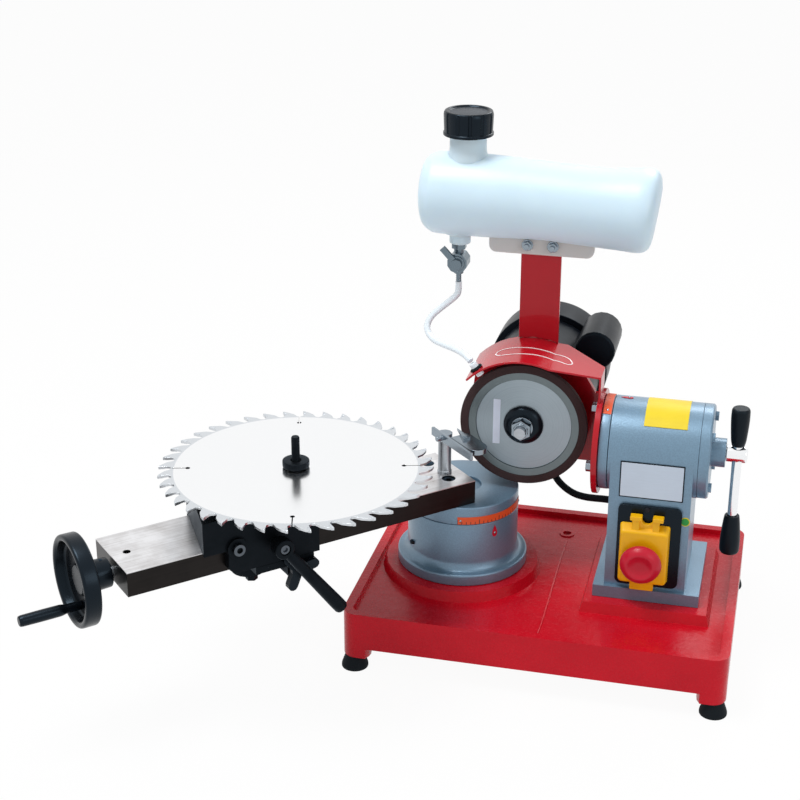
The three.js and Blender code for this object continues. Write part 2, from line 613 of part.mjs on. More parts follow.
function leadNutBlock() {
  const half = rail.slotWidth / 2 - gap;
  const body = block([leadNut.left, leadNut.right], [rail.offset - half, rail.offset + half],
    [keeperTop + gap, railBottom + rail.slotDepth - gap]);
  return cut(body, bar("x", leadScrew.radius + gap, [leadNut.left - overrun, leadNut.right + overrun],
    [0, rail.offset, leadScrew.height]));
}

function clampLeverBody() {
  const { x, z, hubRadius, hubLength, reach, drop, lean, neckRadius, tipRadius } = clampLever;
  const hubBack = cheekFront - clampLever.standOff - gap;
  const hubFront = hubBack - hubLength;
  const hub = bar("y", hubRadius, [hubFront, hubBack], [x, 0, z]);
  const shankEnd = railFront - carriage.sideGap - gap;
  const shank = bar("y", clampLever.shankRadius, [hubBack - gap, shankEnd], [x, 0, z], smallSides);
  const start = new THREE.Vector3(x, (hubFront + hubBack) / 2, z);
  const reachLine = new THREE.Vector3(reach, -lean, -drop);
  const length = reachLine.length();
  const upwards = new THREE.Vector3(0, 1, 0);
  const geometry = new THREE.CylinderGeometry(tipRadius, neckRadius, length, smallSides);
  geometry.translate(0, length / 2, 0);
  geometry.applyQuaternion(new THREE.Quaternion().setFromUnitVectors(upwards, reachLine.normalize()));
  geometry.translate(start.x, start.y, start.z);
  return join(hub, shank, solid(geometry));
}

function starKnobBody() {
  const { x, z, hubRadius, lobeRadius, reach, thickness, turn, shankRadius, shankLength } = starKnob;
  const span = [cheekFront - gap - thickness, cheekFront - gap];
  const lobes = around(starKnob.lobes, turn, (angle) => {
    const [across, up] = [Math.cos(angle), Math.sin(angle)];
    const tip = bar("y", lobeRadius, span, [x + reach * across, 0, z + reach * up], smallSides);
    const arm = plate("y", polygon([
      [x - lobeRadius * up, z + lobeRadius * across], [x + lobeRadius * up, z - lobeRadius * across],
      [x + reach * across + lobeRadius * up, z + reach * up - lobeRadius * across],
      [x + reach * across - lobeRadius * up, z + reach * up + lobeRadius * across]]), span);
    return join(tip, arm);
  });
  const hub = bar("y", hubRadius, span, [x, 0, z], smallSides);
  const middle = cheekFront - gap - thickness / 2;
  const shank = bar("y", shankRadius, [middle, cheekFront + shankLength], [x, 0, z], smallSides);
  return join(hub, shank, ...lobes);
}

// Blade, its seat and nut

function bladeSeat() {
  const bottom = carriage.top + gap;
  const top = bottom + seat.flangeHeight;
  return turned("z", [[0, carriage.top - seat.shankLength], [seat.shankRadius,
    carriage.top - seat.shankLength],
    [seat.shankRadius, bottom], [seat.flangeRadius, bottom], [seat.flangeRadius, top],
    [seat.pilotRadius, top],
    [seat.pilotRadius, bladeTop - gap], [seat.studRadius, bladeTop - gap], [seat.studRadius, seat.studTop],
    [0, seat.studTop]], [seat.x, rail.offset, 0]);
}

function sawBlade() {
  const { radius, gulletRadius, teeth } = blade;
  const pitch = (2 * halfTurn) / teeth;
  const first = radians(blade.slotTurn) - pitch * slotShare;
  const points = [];
  for (let tooth = 0; tooth < teeth; tooth += 1) {
    for (const [height, turn] of toothShares) {
      const distance = gulletRadius + (radius - gulletRadius) * height;
      const angle = first + pitch * (tooth + turn);
      points.push([distance * Math.cos(angle), distance * Math.sin(angle)]);
    }
  }
  const disc = plate("z", polygon(points), [bladeBottom, bladeTop]);
  const bore = bar("z", blade.boreRadius, [bladeBottom - overrun, bladeTop + overrun], [0, 0, 0]);
  const slots = around(blade.slots, blade.slotTurn, (angle) => {
    const length = radius - blade.slotEndRadius;
    const geometry = new THREE.BoxGeometry(length, blade.slotWidth, blade.thickness + overrun);
    geometry.translate((radius + blade.slotEndRadius) / 2, 0, (bladeBottom + bladeTop) / 2);
    geometry.rotateZ(angle);
    const end = bar("z", blade.slotHoleRadius, [bladeBottom - overrun, bladeTop + overrun],
      [blade.slotEndRadius * Math.cos(angle), blade.slotEndRadius * Math.sin(angle), 0], smallSides);
    return join(solid(geometry), end);
  });
  return cut(disc, bore, ...slots).translate([seat.x, rail.offset, 0]);
}

function clampNutBody() {
  const { radius, height, edge, seatRadius, seatHeight } = clampNut;
  const bottom = bladeTop + gap;
  const inner = seat.studRadius + gap;
  const top = bottom + height;
  const step = bottom + seatHeight;
  return turned("z", [[inner, bottom], [seatRadius, bottom], [seatRadius, step], [radius - edge, step],
    [radius, step + edge], [radius, top - edge], [radius - edge, top], [inner, top]], [seat.x,
    rail.offset, 0]);
}

// Tooth stop

function stopPostBody() {
  const bottom = railTop + gap;
  const top = bottom + stopPost.height;
  return turned("z", [[0, bottom], [stopPost.radius, bottom], [stopPost.radius, top - stopPost.edge],
    [stopPost.radius - stopPost.edge, top], [0, top]], [stopPost.x, rail.offset + stopPost.side, 0],
    smallSides);
}

function stopArmBody() {
  const bottom = railTop + gap + stopPost.height + gap;
  const place = [stopPost.x, rail.offset + stopPost.side, 0];
  const right = stopArm.left + stopArm.thickness;
  const cap = bar("z", stopArm.capRadius, [bottom, bottom + stopArm.capHeight], place, smallSides);
  const reach = [rail.offset + stopArm.front, rail.offset + stopArm.back];
  const arm = block([stopArm.left, right], reach, [bottom, bottom + stopArm.height]);
  const screw = bar("x", stopArm.screwRadius, [stopArm.left - stopArm.screwLength, right],
    [0, rail.offset + stopArm.screwSide, bottom + stopArm.height / 2], smallSides);
  return join(cap, arm, screw);
}

function stopFingerBody() {
  const { width, bottom, thickness, tipHeight } = stopFinger;
  const left = stopArm.left + stopArm.thickness + gap;
  const right = left + width;
  const [back, front] = [rail.offset + stopFinger.back, rail.offset + stopFinger.front];
  const outline = new THREE.Shape();
  outline.moveTo(left, back);
  outline.lineTo(left, front + width / 2);
  outline.absarc(left + width / 2, front + width / 2, width / 2, halfTurn, 2 * halfTurn);
  outline.lineTo(right, back);
  const middle = left + width / 2;
  const side = stopFinger.tipWidth / 2;
  const root = rail.offset + stopFinger.tipRoot;
  const tip = polygon([[middle - side, root], [middle + side, root], [middle + side,
    rail.offset + stopFinger.tipBack]]);
  const rivet = bar("z", stopFinger.rivetRadius, [bottom,
    bottom + thickness + tipHeight + stopFinger.rivetHeight],
    [middle, rail.offset + stopFinger.rivetSide, 0], smallSides);
  return join(plate("z", outline, [bottom, bottom + thickness]),
    plate("z", tip, [bottom + thickness - gap, bottom + thickness + tipHeight]), rivet);
}

// Stand

function standHousing() {
  const line = [0, 0, housing.z];
  const shellSolid = bar("x", housing.radius, [housing.left, housing.right], line, wideSides);
  const { footLeft, footRight, footFront, footBack, footTop, wall } = stand;
  const upright = block([stand.left, stand.right], [-housing.radius, housing.radius], [footTop - gap,
    housing.z]);
  const footPlate = block([footLeft, footRight], [footFront, footBack], [roundSeat.top + gap, footTop]);
  const cavity = block([stand.left + wall, stand.right - wall], [wall - housing.radius,
    housing.radius - wall],
    [roundSeat.top - overrun, stand.cavityTop]);
  const bore = bar("x", housing.bore, [housing.left - overrun, housing.right + overrun], line, wideSides);
  const { left, right, bottom, margin } = switchPlate;
  const window = block([left + margin - gap, right - margin + gap],
    [-housing.radius - overrun, -housing.radius + wall + overrun], [bottom + margin - gap,
    stand.cavityTop - gap]);
  const cableHole = bar("y", inlet.radius + gap, [housing.radius - wall - overrun, housing.radius + overrun],
    [(stand.left + stand.right) / 2, 0, inlet.z], smallSides);
  const sideHole = bar("x", leadHole.radius, [stand.left - overrun, stand.left + wall + overrun],
    [0, leadHole.y, leadHole.z], smallSides);
  return cut(join(shellSolid, upright, footPlate), cavity, bore, window, cableHole, sideHole);
}

function housingEndCap() {
  const line = [0, 0, housing.z];
  const left = housing.right + gap;
  const face = left + endCap.thickness;
  const inner = cam.spindleRadius + gap;
  const { spigot, edge, bossRadius, bossLength, boltCircle } = endCap;
  const outer = housing.bore - gap;
  const body = turned("x", [[inner, left - spigot], [outer, left - spigot], [outer, left],
    [housing.radius, left],
    [housing.radius, face - edge], [housing.radius - edge, face], [bossRadius, face],
    [bossRadius, face + bossLength], [inner, face + bossLength]], line, roundSides);
  const boltSpan = [face - gap, face + endCap.boltHeight];
  const bolts = around(endCap.bolts, endCap.boltTurn, (angle) => bar("x", endCap.boltRadius, boltSpan,
    [0, boltCircle * Math.cos(angle), housing.z + boltCircle * Math.sin(angle)], hexagonSides));
  return join(body, ...bolts);
}

function cableGland() {
  const inside = housing.radius - stand.wall - inlet.inside;
  const wallFace = housing.radius + gap;
  const outside = housing.radius + inlet.outside;
  const { bore, radius, collarRadius, collar } = inlet;
  return turned("y", [[bore, inside], [radius, inside], [radius, wallFace], [collarRadius, wallFace],
    [collarRadius, wallFace + collar], [radius, outside], [bore, outside]],
  [(stand.left + stand.right) / 2, 0, inlet.z], smallSides);
}

// Switch

function switchBox() {
  const { left, right, bottom, top, margin, depth } = switchPlate;
  const faceplate = block([left, right], [plateFront, -housing.radius - gap], [bottom, top]);
  const box = block([left + margin, right - margin], [plateFront + gap, plateFront + depth],
    [bottom + margin, stand.cavityTop - 2 * gap]);
  const bores = [button.offZ, button.startZ].map((z) => bar("y", button.radius + gap,
    [plateFront - overrun, plateFront + button.length + button.boreDepth], [button.x, 0, z], smallSides));
  return cut(join(faceplate, box), ...bores);
}

function pushButton(z) {
  const front = plateFront - button.proud;
  return bar("y", button.radius, [front, front + button.length], [button.x, 0, z], smallSides);
}

function switchCover() {
  const { left, right, bottom, top, depth, wall, roomTop, lugLeft, lugRight, lugWidth,
    lugBottom } = flipCover;
  const back = plateFront - gap;
  const front = back - depth;
  const lid = block([left, right], [front, back], [bottom, top]);
  const lugFront = front - flipCover.lugProud;
  const lugs = block([lugLeft, lugRight], [lugFront, front + gap], [lugBottom, top]);
  const lugGap = block([lugLeft + lugWidth, lugRight - lugWidth], [lugFront - overrun, front],
    [lugBottom - overrun, top + overrun]);
  const tabSpan = [bottom - flipCover.tabDrop, bottom + gap];
  const tab = block([flipCover.tabLeft, flipCover.tabRight], [front, back - depth / 2], tabSpan);
  const room = block([left + wall, right - wall], [front + wall, back + overrun], [bottom + wall, roomTop]);
  const stemHole = bar("y", flipCover.stemBore, [front - overrun, back], [button.x, 0, button.offZ]);
  return cut(join(lid, cut(lugs, lugGap), tab), room, stemHole);
}

function stopKnobBody() {
  const { radius, headHeight, rimHeight, stemRadius, standOff } = stopKnob;
  const stemEnd = plateFront - button.proud - gap;
  const headBack = plateFront - gap - flipCover.depth - standOff;
  const front = headBack - headHeight;
  const side = headBack - rimHeight;
  const dome = domeShares.map(([across, back]) => [radius * across, front + (side - front) * back]);
  return turned("y", [[0, front], ...dome, [radius, side], [radius, headBack], [stemRadius, headBack],
    [stemRadius, stemEnd], [0, stemEnd]], [button.x, 0, button.offZ]);
}

// Feed quill and lever

function feedQuill() {
  const shoulder = housing.left;
  const { radius, back, spigotRadius, spigotFront, boreRadius, boreFront } = quill;
  return turned("x", [[0, spigotFront], [spigotRadius, spigotFront], [spigotRadius, shoulder], [radius,
    shoulder],
    [radius, back], [boreRadius, back], [boreRadius, boreFront], [0, boreFront]], [0, 0, housing.z],
    wideSides);
}

function camSpindle() {
  const right = cam.left + cam.thickness;
  const { radius, left, spindleRadius, shoulder, neckRadius, neckEnd } = cam;
  return turned("x", [[0, left], [radius, left], [radius, right], [spindleRadius, right],
    [spindleRadius, shoulder],
    [neckRadius, shoulder], [neckRadius, neckEnd], [0, neckEnd]], [0, 0, housing.z]);
}

function feedLeverBody() {
  const line = [0, 0, housing.z];
  const hub = bar("x", feedLever.hubRadius, [feedLever.hubLeft, feedLever.hubRight], line);
  const rod = bar("z", feedLever.rodRadius, [feedLever.rodDown, feedLever.rodUp], [feedLever.x, 0,
    housing.z], smallSides);
  const bore = bar("x", cam.neckRadius + gap, [feedLever.hubLeft - overrun, cam.neckEnd + gap], line,
    smallSides);
  return cut(join(hub, rod), bore);
}

// A grip that widens from its bored end to its flat one, on the end of the rod
function leverGrip({ start, end, radius, neckRadius, rodEnd }) {
  const inner = feedLever.rodRadius + gap;
  const boreEnd = rodEnd + Math.sign(end - start) * gap;
  const skin = gripShares.map(([place, across]) => [radius * across, start + (end - start) * place]);
  return turned("z", [[inner, start], [neckRadius, start], ...skin, [0, end], [0, boreEnd], [inner,
    boreEnd]],
    [feedLever.x, 0, housing.z], smallSides);
}

// Grinding head

function tiltRingBody() {
  const inner = quill.spigotRadius + gap;
  const { left, right } = tiltRing;
  return turned("x", [[inner, left], [housing.radius, left], [housing.radius, right], [inner, right]],
    [0, 0, housing.z], wideSides);
}

function headBracket() {
  const line = [0, 0, housing.z];
  const flangeRight = tiltRing.left - gap;
  const flange = bar("x", bracket.flangeRadius, [bracket.flangeLeft, flangeRight], line, wideSides);
  const span = [bracket.plateFront, bracket.plateBack];
  const centre = [wheelAxis.x, 0, wheelAxis.z];
  const lowDisc = bar("y", bracket.lowRadius, span, centre, wideSides);
  const throughPlate = [span[0] - overrun, span[1] + overrun];
  const cutSide = bracket.highRadius + overrun;
  const lowerHalf = block([wheelAxis.x - cutSide, wheelAxis.x + cutSide], throughPlate,
    [wheelAxis.z - cutSide, wheelAxis.z]);
  const highHalf = cut(bar("y", bracket.highRadius, span, centre, wideSides), lowerHalf);
  const { flangeLeft, webBottom, boltCircle } = bracket;
  const web = block([wheelAxis.x, flangeLeft + gap], span, [webBottom, wheelAxis.z + bracket.lowRadius / 2]);
  const boltSpan = [flangeLeft - bracket.boltHeight, flangeLeft + gap];
  const bolts = around(bracket.bolts, bracket.boltTurn, (angle) => bar("x", bracket.boltRadius, boltSpan,
    [0, boltCircle * -Math.cos(angle), housing.z + boltCircle * -Math.sin(angle)], hexagonSides));
  const bore = bar("x", quill.spigotRadius + gap, [flangeLeft - overrun, flangeRight + overrun], line,
    wideSides);
  const shaftHole = bar("y", bracket.shaftHole, throughPlate, centre);
  return cut(join(flange, lowDisc, highHalf, web, ...bolts), bore, shaftHole);
}

// Outline of the guard sheet between an inner and an outer radius, seen from the front
function guardOutline() {
  const [start, end] = [radians(guard.startAngle), radians(guard.endAngle)];
  const outer = guard.radius + guard.sheet;
  const steps = roundSides / 2;
  const line = (distance) => Array.from({ length: steps + 1 }, (_, i) => {
    const angle = start + ((end - start) * i) / steps;
    return [wheelAxis.x + distance * Math.cos(angle), wheelAxis.z + distance * Math.sin(angle)];
  });
  const bottom = housing.z + bracket.flangeRadius / 2;
  const inner = guard.tabX - guard.sheet;
  return polygon([...line(outer), [guard.tabX, guard.tabTop], [guard.tabX, bottom], [inner, bottom],
    [inner, guard.tabTop - guard.sheet], ...line(guard.radius).reverse()]);
}

// A bar along the nozzle's own line, which points away from the wheel axis
function nozzleBar(radius, [from, to]) {
  const geometry = new THREE.CylinderGeometry(radius, radius, to - from, smallSides);
  geometry.translate(0, (from + to) / 2, 0);
  geometry.rotateX(halfTurn / 2);
  geometry.rotateY(halfTurn / 2 - radians(nozzle.turn));
  geometry.translate(wheelAxis.x, nozzle.y, wheelAxis.z);
  return solid(geometry);
}

function wheelGuard() {
  const sheet = plate("y", guardOutline(), [guard.front, guard.back]);
  const { tabX, trimX, trimY } = guard;
  const flangeRoom = bar("x", bracket.flangeRadius + gap, [tabX - 2 * guard.sheet, tabX + overrun],
    [0, 0, housing.z], wideSides);
  const trimBack = guard.back + overrun;
  const trim = plate("z", polygon([[trimX, trimBack], [tabX + overrun, trimY], [tabX + overrun, trimBack]]),
    [housing.z, guard.tabTop + guard.radius]);
  const hole = nozzleBar(nozzle.bodyRadius + gap, [guard.radius - overrun,
    guard.radius + guard.sheet + overrun]);
  return cut(sheet, flangeRoom, trim, hole);
}

function sprayNozzle() {
  const outer = guard.radius + guard.sheet + gap;
  const tip = guard.radius - nozzle.inside;
  const end = outer + nozzle.outside;
  const body = nozzleBar(nozzle.bodyRadius, [tip, end]);
  const grommet = nozzleBar(nozzle.grommetRadius, [outer, outer + nozzle.collar]);
  return cut(join(body, grommet), nozzleBar(nozzle.bore, [tip - overrun, end + overrun]));
}

function tankPost() {
  const postBack = postFront + post.thickness;
  const sheet = block([post.left, post.right], [postFront, postBack], [wheelAxis.z, post.top]);
  const room = clearOf(guard.radius + guard.sheet, wideSides);
  return cut(sheet, bar("y", room, [guard.front, postBack + overrun], [wheelAxis.x, 0, wheelAxis.z],
    wideSides));
}

function motorHousing() {
  const front = bracket.plateBack + gap;
  const centre = [wheelAxis.x, 0, wheelAxis.z];
  const inner = motor.radius - motor.shell;
  const wallBack = front + motor.frontWall;
  const seatBack = wallBack + bearing.width + gap;
  const seatOuter = motor.boreRadius + motor.shell;
  const { radius, back, frontEdge, frontBore, boreRadius } = motor;
  const body = turned("y", [[frontBore, front], [radius - frontEdge, front], [radius, front + frontEdge],
    [radius, back], [inner, back], [inner, wallBack], [seatOuter, wallBack], [seatOuter, seatBack],
    [boreRadius, seatBack], [boreRadius, wallBack], [frontBore, wallBack]], centre, wideSides);
  const pad = capacitorFrame(block([-capacitor.padHalf, capacitor.padHalf],
    [capacitor.front + capacitor.edge, capacitor.back - capacitor.dome],
    [radius - motor.shell / 2, capacitor.standOff - capacitor.floorDrop]));
  const gland = bar("z", leadGland.radius, [leadGland.bottom, wheelAxis.z - inner], [leadGland.x,
    leadGland.y, 0],
    smallSides);
  const hollow = bar("y", inner, [wallBack + gap, back + overrun], centre, wideSides);
  return join(body, cut(join(pad, gland), hollow));
}

// Puts a solid drawn above the motor axis at the capacitor's own angle
function capacitorFrame(body) {
  return body.rotate([0, capacitor.turn, 0]).translate([wheelAxis.x, 0, wheelAxis.z]);
}

function capacitorCover() {
  const { radius, standOff, front, back, edge, dome, floorDrop } = capacitor;
  const skin = capacitorShares.map(([across, left]) => [radius * across, back - dome * left]);
  const tubePart = turned("y", [[0, front], [radius - edge, front], [radius, front + edge], [radius,
    back - dome],
    ...skin, [0, back]], [0, 0, standOff]);
  const side = radius + overrun;
  const below = block([-side, side], [front - overrun, back + overrun], [0, standOff - floorDrop + gap]);
  return capacitorFrame(cut(tubePart, below));
}

function motorEndShield() {
  const centre = [wheelAxis.x, 0, wheelAxis.z];
  const front = motor.back - endShield.thickness;
  const rim = motor.radius - motor.shell - 2 * gap;
  const bore = endShield.boreRadius;
  return turned("y", [[bore, front], [rim, front], [rim, motor.back], [bore, motor.back]], centre);
}

function motorFanCover() {
  const centre = [wheelAxis.x, 0, wheelAxis.z];
  const front = motor.back + gap;
  const { radius, back, shell: sheet, edge } = fanCover;
  const lip = motor.radius - motor.shell;
  const body = turned("y", [[lip, front + sheet], [radius - sheet, front + sheet], [radius - sheet,
    back - edge],
    [radius - edge, back - sheet], [0, back - sheet], [0, back], [radius - edge, back], [radius,
    back - edge],
    [radius, front], [lip, front]], centre, wideSides);
  const circle = fanCover.ventCircle;
  const vents = around(fanCover.vents, 0, (angle) => bar("y", fanCover.ventRadius, [back - edge,
    back + overrun],
    [wheelAxis.x + circle * Math.cos(angle), 0, wheelAxis.z + circle * Math.sin(angle)], smallSides));
  return cut(body, ...vents);
}

function statorCore() {
  const { inner, outer, front, back } = stator;
  return turned("y", [[inner, front], [outer, front], [outer, back], [inner, back]], [wheelAxis.x, 0,
    wheelAxis.z]);
}

function ballBearing(y) {
  const { inner, outer, width } = bearing;
  return turned("y", [[inner, y], [outer, y], [outer, y + width], [inner, y + width]],
    [wheelAxis.x, 0, wheelAxis.z], bearingSides);
}

function rotorShaft() {
  const { radius, shaftRadius, fanRadius, fanFront, fanThickness, shaftBack, threadRadius,
    shaftFront } = rotor;
  const shoulder = wheel.thickness + gap;
  const fanBack = fanFront + fanThickness;
  return turned("y", [[0, shaftFront], [threadRadius, shaftFront], [threadRadius, shoulder],
    [shaftRadius, shoulder],
    [shaftRadius, stator.front], [radius, stator.front], [radius, stator.back], [shaftRadius, stator.back],
    [shaftRadius, fanFront], [fanRadius, fanFront], [fanRadius, fanBack], [shaftRadius, fanBack],
    [shaftRadius, shaftBack], [0, shaftBack]], [wheelAxis.x, 0, wheelAxis.z]);
}

function wheelInnerFlange() {
  const face = wheel.thickness + gap;
  const { radius, hubRadius, spigotRadius, spigot, back, thickness } = innerFlange;
  const threadBore = rotor.threadRadius + gap;
  const shaftBore = rotor.shaftRadius + gap;
  return turned("y", [[threadBore, face - spigot], [spigotRadius, face - spigot], [spigotRadius, face],
    [radius, face],
    [radius, face + thickness], [hubRadius, face + thickness], [hubRadius, back], [shaftBore, back],
    [shaftBore, face], [threadBore, face]], [wheelAxis.x, 0, wheelAxis.z]);
}

function grindingWheel() {
  const { radius, thickness, bore, faceWidth, ringInner, ringDrop, dishDrop, bodyThickness,
    backRadius } = wheel;
  const rimInner = radius - faceWidth;
  return turned("y", [[bore, dishDrop], [ringInner, dishDrop], [ringInner, ringDrop], [rimInner,
    ringDrop / 2],
    [rimInner, 0], [radius, 0], [radius, bodyThickness], [backRadius, thickness], [bore, thickness]],
  [wheelAxis.x, 0, wheelAxis.z], wideSides);
}

function wheelOuterFlange() {
  const back = wheel.dishDrop - gap;
  const front = back - outerFlange.thickness;
  const inner = rotor.threadRadius + gap;
  const { radius, faceRadius, bevel } = outerFlange;
  return turned("y", [[inner, front], [faceRadius, front], [radius, front + bevel], [radius, back],
    [inner, back]],
    [wheelAxis.x, 0, wheelAxis.z]);
}

function arborNutBody() {
  const back = wheel.dishDrop - gap - outerFlange.thickness - gap;
  const front = back - arborNut.height;
  const centre = [wheelAxis.x, 0, wheelAxis.z];
  const hexagon = bar("y", arborNut.radius, [front + arborNut.crown, back], centre, hexagonSides);
  const crown = bar("y", arborNut.crownRadius, [front, front + arborNut.crownRoot], centre, smallSides);
  const bore = bar("y", rotor.threadRadius + gap, [front - overrun, back + overrun], centre, smallSides);
  return cut(join(hexagon, crown), bore);
}

// Coolant tank

// The tank's skin, or the space inside it where an inset is given
function tankBody(inset) {
  const { left, right, middle, radius, lean } = tank;
  return lofted(tankShares.map(([length, wide, leaning, drop]) => Array.from({ length: roundSides }, (_,
    i) => {
    const angle = (2 * halfTurn * i) / roundSides;
    const distance = radius * wide - inset;
    const place = left + inset + (right - left - 2 * inset) * length;
    return new THREE.Vector3(place + lean * leaning * Math.sin(angle), tank.y + distance * Math.cos(angle),
      middle - radius * drop + distance * Math.sin(angle));
  })));
}

function coolantTank() {
  const neckLine = [tank.neckX, tank.y, 0];
  const neck = bar("z", tank.neckRadius, [tank.middle, tank.neckTop], neckLine);
  const neckHole = bar("z", tank.neckBore, [tank.middle, tank.neckTop + overrun], neckLine);
  const { webLeft, webRight, webBottom, webThickness, webBack, corner, rootTop } = tank;
  const cornerTop = webBottom + corner;
  const web = plate("y", polygon([[webLeft, cornerTop], [webLeft + corner, webBottom],
    [webRight - corner, webBottom],
    [webRight, cornerTop], [webRight, rootTop], [webLeft, rootTop]]), [webBack - webThickness, webBack]);
  const outlet = bar("z", tank.outletRadius, [tank.outletBottom, rootTop], [tank.outletX, tank.y, 0],
    smallSides);
  return cut(join(tankBody(0), neck, web, outlet), tankBody(tank.wall), neckHole);
}

function tankCapBody() {
  const { radius, height, wall, bottom, edge, dishRadius, rimRadius, grooveRadius, grooveOut } = tankCap;
  const top = bottom + height;
  const line = [tank.neckX, tank.y, 0];
  const inner = tank.neckRadius + gap;
  const low = 2 * bottom - tank.neckTop;
  const roof = top - wall - edge;
  const body = turned("z", [[0, top - edge], [dishRadius, top - edge], [rimRadius, top], [radius - edge,
    top],
    [radius, top - edge], [radius, low], [radius - wall, low], [radius - wall, roof], [0, roof]], line);
  const sealOuter = radius - wall + gap;
  const seal = turned("z", [[inner, bottom + gap], [sealOuter, bottom + gap], [sealOuter, roof + gap],
    [inner, roof + gap]], line);
  const circle = radius + grooveOut;
  const grooves = around(tankCap.grooves, 0, (angle) => bar("z", grooveRadius, [low + edge, top + overrun],
    [tank.neckX + circle * Math.cos(angle), tank.y + circle * Math.sin(angle), 0], grooveSides));
  return cut(join(body, seal), ...grooves);
}

function tapBody() {
  const { bodyZ, bodyRadius, bodyFront, bodyBack, stemRadius, nutRadius, barbRadius, collarRadius } = tap;
  const top = tank.outletBottom - gap;
  const line = [tap.x, tank.y, 0];
  const body = bar("y", bodyRadius, [bodyFront, bodyBack], [tap.x, 0, bodyZ], smallSides);
  const stem = bar("z", stemRadius, [bodyZ, top], line, smallSides);
  const nut = bar("z", nutRadius, [top - tap.nutHeight, top], line, hexagonSides);
  const barb = bar("z", barbRadius, [tap.barbBottom + gap, bodyZ], line, smallSides);
  const collar = bar("z", collarRadius, [bodyZ - tap.collarDrop, bodyZ], line, smallSides);
  return join(body, stem, nut, barb, collar);
}

function tapLeverBody() {
  const front = tap.bodyFront - gap;
  const back = front - tapLever.thickness;
  const angle = radians(tapLever.turn);
  const [across, up] = [Math.cos(angle), Math.sin(angle)];
  const half = tapLever.width / 2;
  const [endX, endZ] = [tap.x + tapLever.reach * across, tap.bodyZ + tapLever.reach * up];
  const arm = plate("y", polygon([[tap.x - half * up, tap.bodyZ + half * across],
    [tap.x + half * up, tap.bodyZ - half * across], [endX + half * up, endZ - half * across],
    [endX - half * up, endZ + half * across]]), [back, front]);
  const hub = bar("y", tapLever.hubRadius, [back - tapLever.hubHeight, front], [tap.x, 0, tap.bodyZ],
    smallSides);
  return join(arm, hub);
}

// Hose and lead, each a list of points counted from a place at either end

function counted(points, [x, y, z]) {
  return points.map(([right, back, up]) => [x + right, y + back, z + up]);
}

function coolantHose() {
  const distance = guard.radius + guard.sheet + gap + nozzle.outside + nozzle.hoseGap;
  const angle = radians(nozzle.turn);
  const mouth = [wheelAxis.x + distance * Math.cos(angle), nozzle.y,
    wheelAxis.z + distance * Math.sin(angle)];
  const route = [...counted(hoseFromTap, [tap.x, tank.y, tap.barbBottom]), ...counted(hoseToNozzle, mouth)];
  return tube(route, hose.radius, hose.sides, hose.steps);
}

function motorLeadTube() {
  const gland = [leadGland.x, leadGland.y, leadGland.bottom - gap];
  const hole = [stand.left, leadHole.y, leadHole.z];
  const end = [hole[0] + motorLead.inside, leadHole.y, leadHole.z];
  const route = [...counted(leadFromGland, gland), ...counted(leadToHole, hole), end];
  return tube(route, motorLead.radius, motorLead.sides, motorLead.steps);
}

// Assembly

const machine = new THREE.Group();
const swing = new THREE.Group();
swing.position.set(turntable.x, 0, 0);
machine.add(swing);
const railFrame = new THREE.Group();
railFrame.rotation.z = radians(rail.angle);
swing.add(railFrame);

piece("base_casting", baseCasting(), materials.redPaint, machine);
const footNames = ["foot_front_left", "foot_front_right", "foot_back_left", "foot_back_right"];
footPlaces().forEach((place, i) => piece(footNames[i], rubberFoot(place), materials.blackRubber, machine));
piece("turntable_column", turntableColumn(), materials.greyPaint, machine);
piece("turntable_ring", turntableRing(), materials.greyPaint, swing);

piece("rail_bar", railBar(), materials.darkSteel, railFrame);
piece("rail_screw", railFixingScrew(), materials.blackOxide, railFrame);
piece("lead_screw", leadScrewShaft(), materials.brightSteel, railFrame);
piece("handwheel", handwheelDisc(), materials.blackPlastic, railFrame);
piece("crank_grip", crankGripBody(), materials.blackPlastic, railFrame);

piece("carriage_block", carriageBlock(), materials.blackOxide, railFrame);
piece("carriage_keeper", carriageKeeper(), materials.blackOxide, railFrame);
piece("lead_nut", leadNutBlock(), materials.bronze, railFrame);
piece("clamp_lever", clampLeverBody(), materials.blackOxide, railFrame);
piece("star_knob", starKnobBody(), materials.blackPlastic, railFrame);
piece("blade_seat", bladeSeat(), materials.blackOxide, railFrame);
piece("saw_blade", sawBlade(), materials.brightSteel, railFrame);
piece("clamp_nut", clampNutBody(), materials.blackOxide, railFrame);
piece("stop_post", stopPostBody(), materials.brightSteel, railFrame);
piece("stop_arm", stopArmBody(), materials.brightSteel, railFrame);
piece("stop_finger", stopFingerBody(), materials.brightSteel, railFrame);

piece("stand_housing", standHousing(), materials.greyPaint, machine);
piece("housing_end_cap", housingEndCap(), materials.greyPaint, machine);
piece("cable_gland", cableGland(), materials.blackPlastic, machine);
piece("switch_box", switchBox(), materials.blackPlastic, machine);
piece("start_button", pushButton(button.startZ), materials.greenPlastic, machine);
piece("off_button", pushButton(button.offZ), materials.redPlastic, machine);
piece("switch_cover", switchCover(), materials.yellowPlastic, machine);
piece("stop_knob", stopKnobBody(), materials.redPlastic, machine);

piece("feed_quill", feedQuill(), materials.brightSteel, machine);
piece("cam_spindle", camSpindle(), materials.brightSteel, machine);
piece("feed_lever", feedLeverBody(), materials.chrome, machine);
piece("upper_grip", leverGrip(upperGrip), materials.blackPlastic, machine);
piece("lower_grip", leverGrip(lowerGrip), materials.blackPlastic, machine);

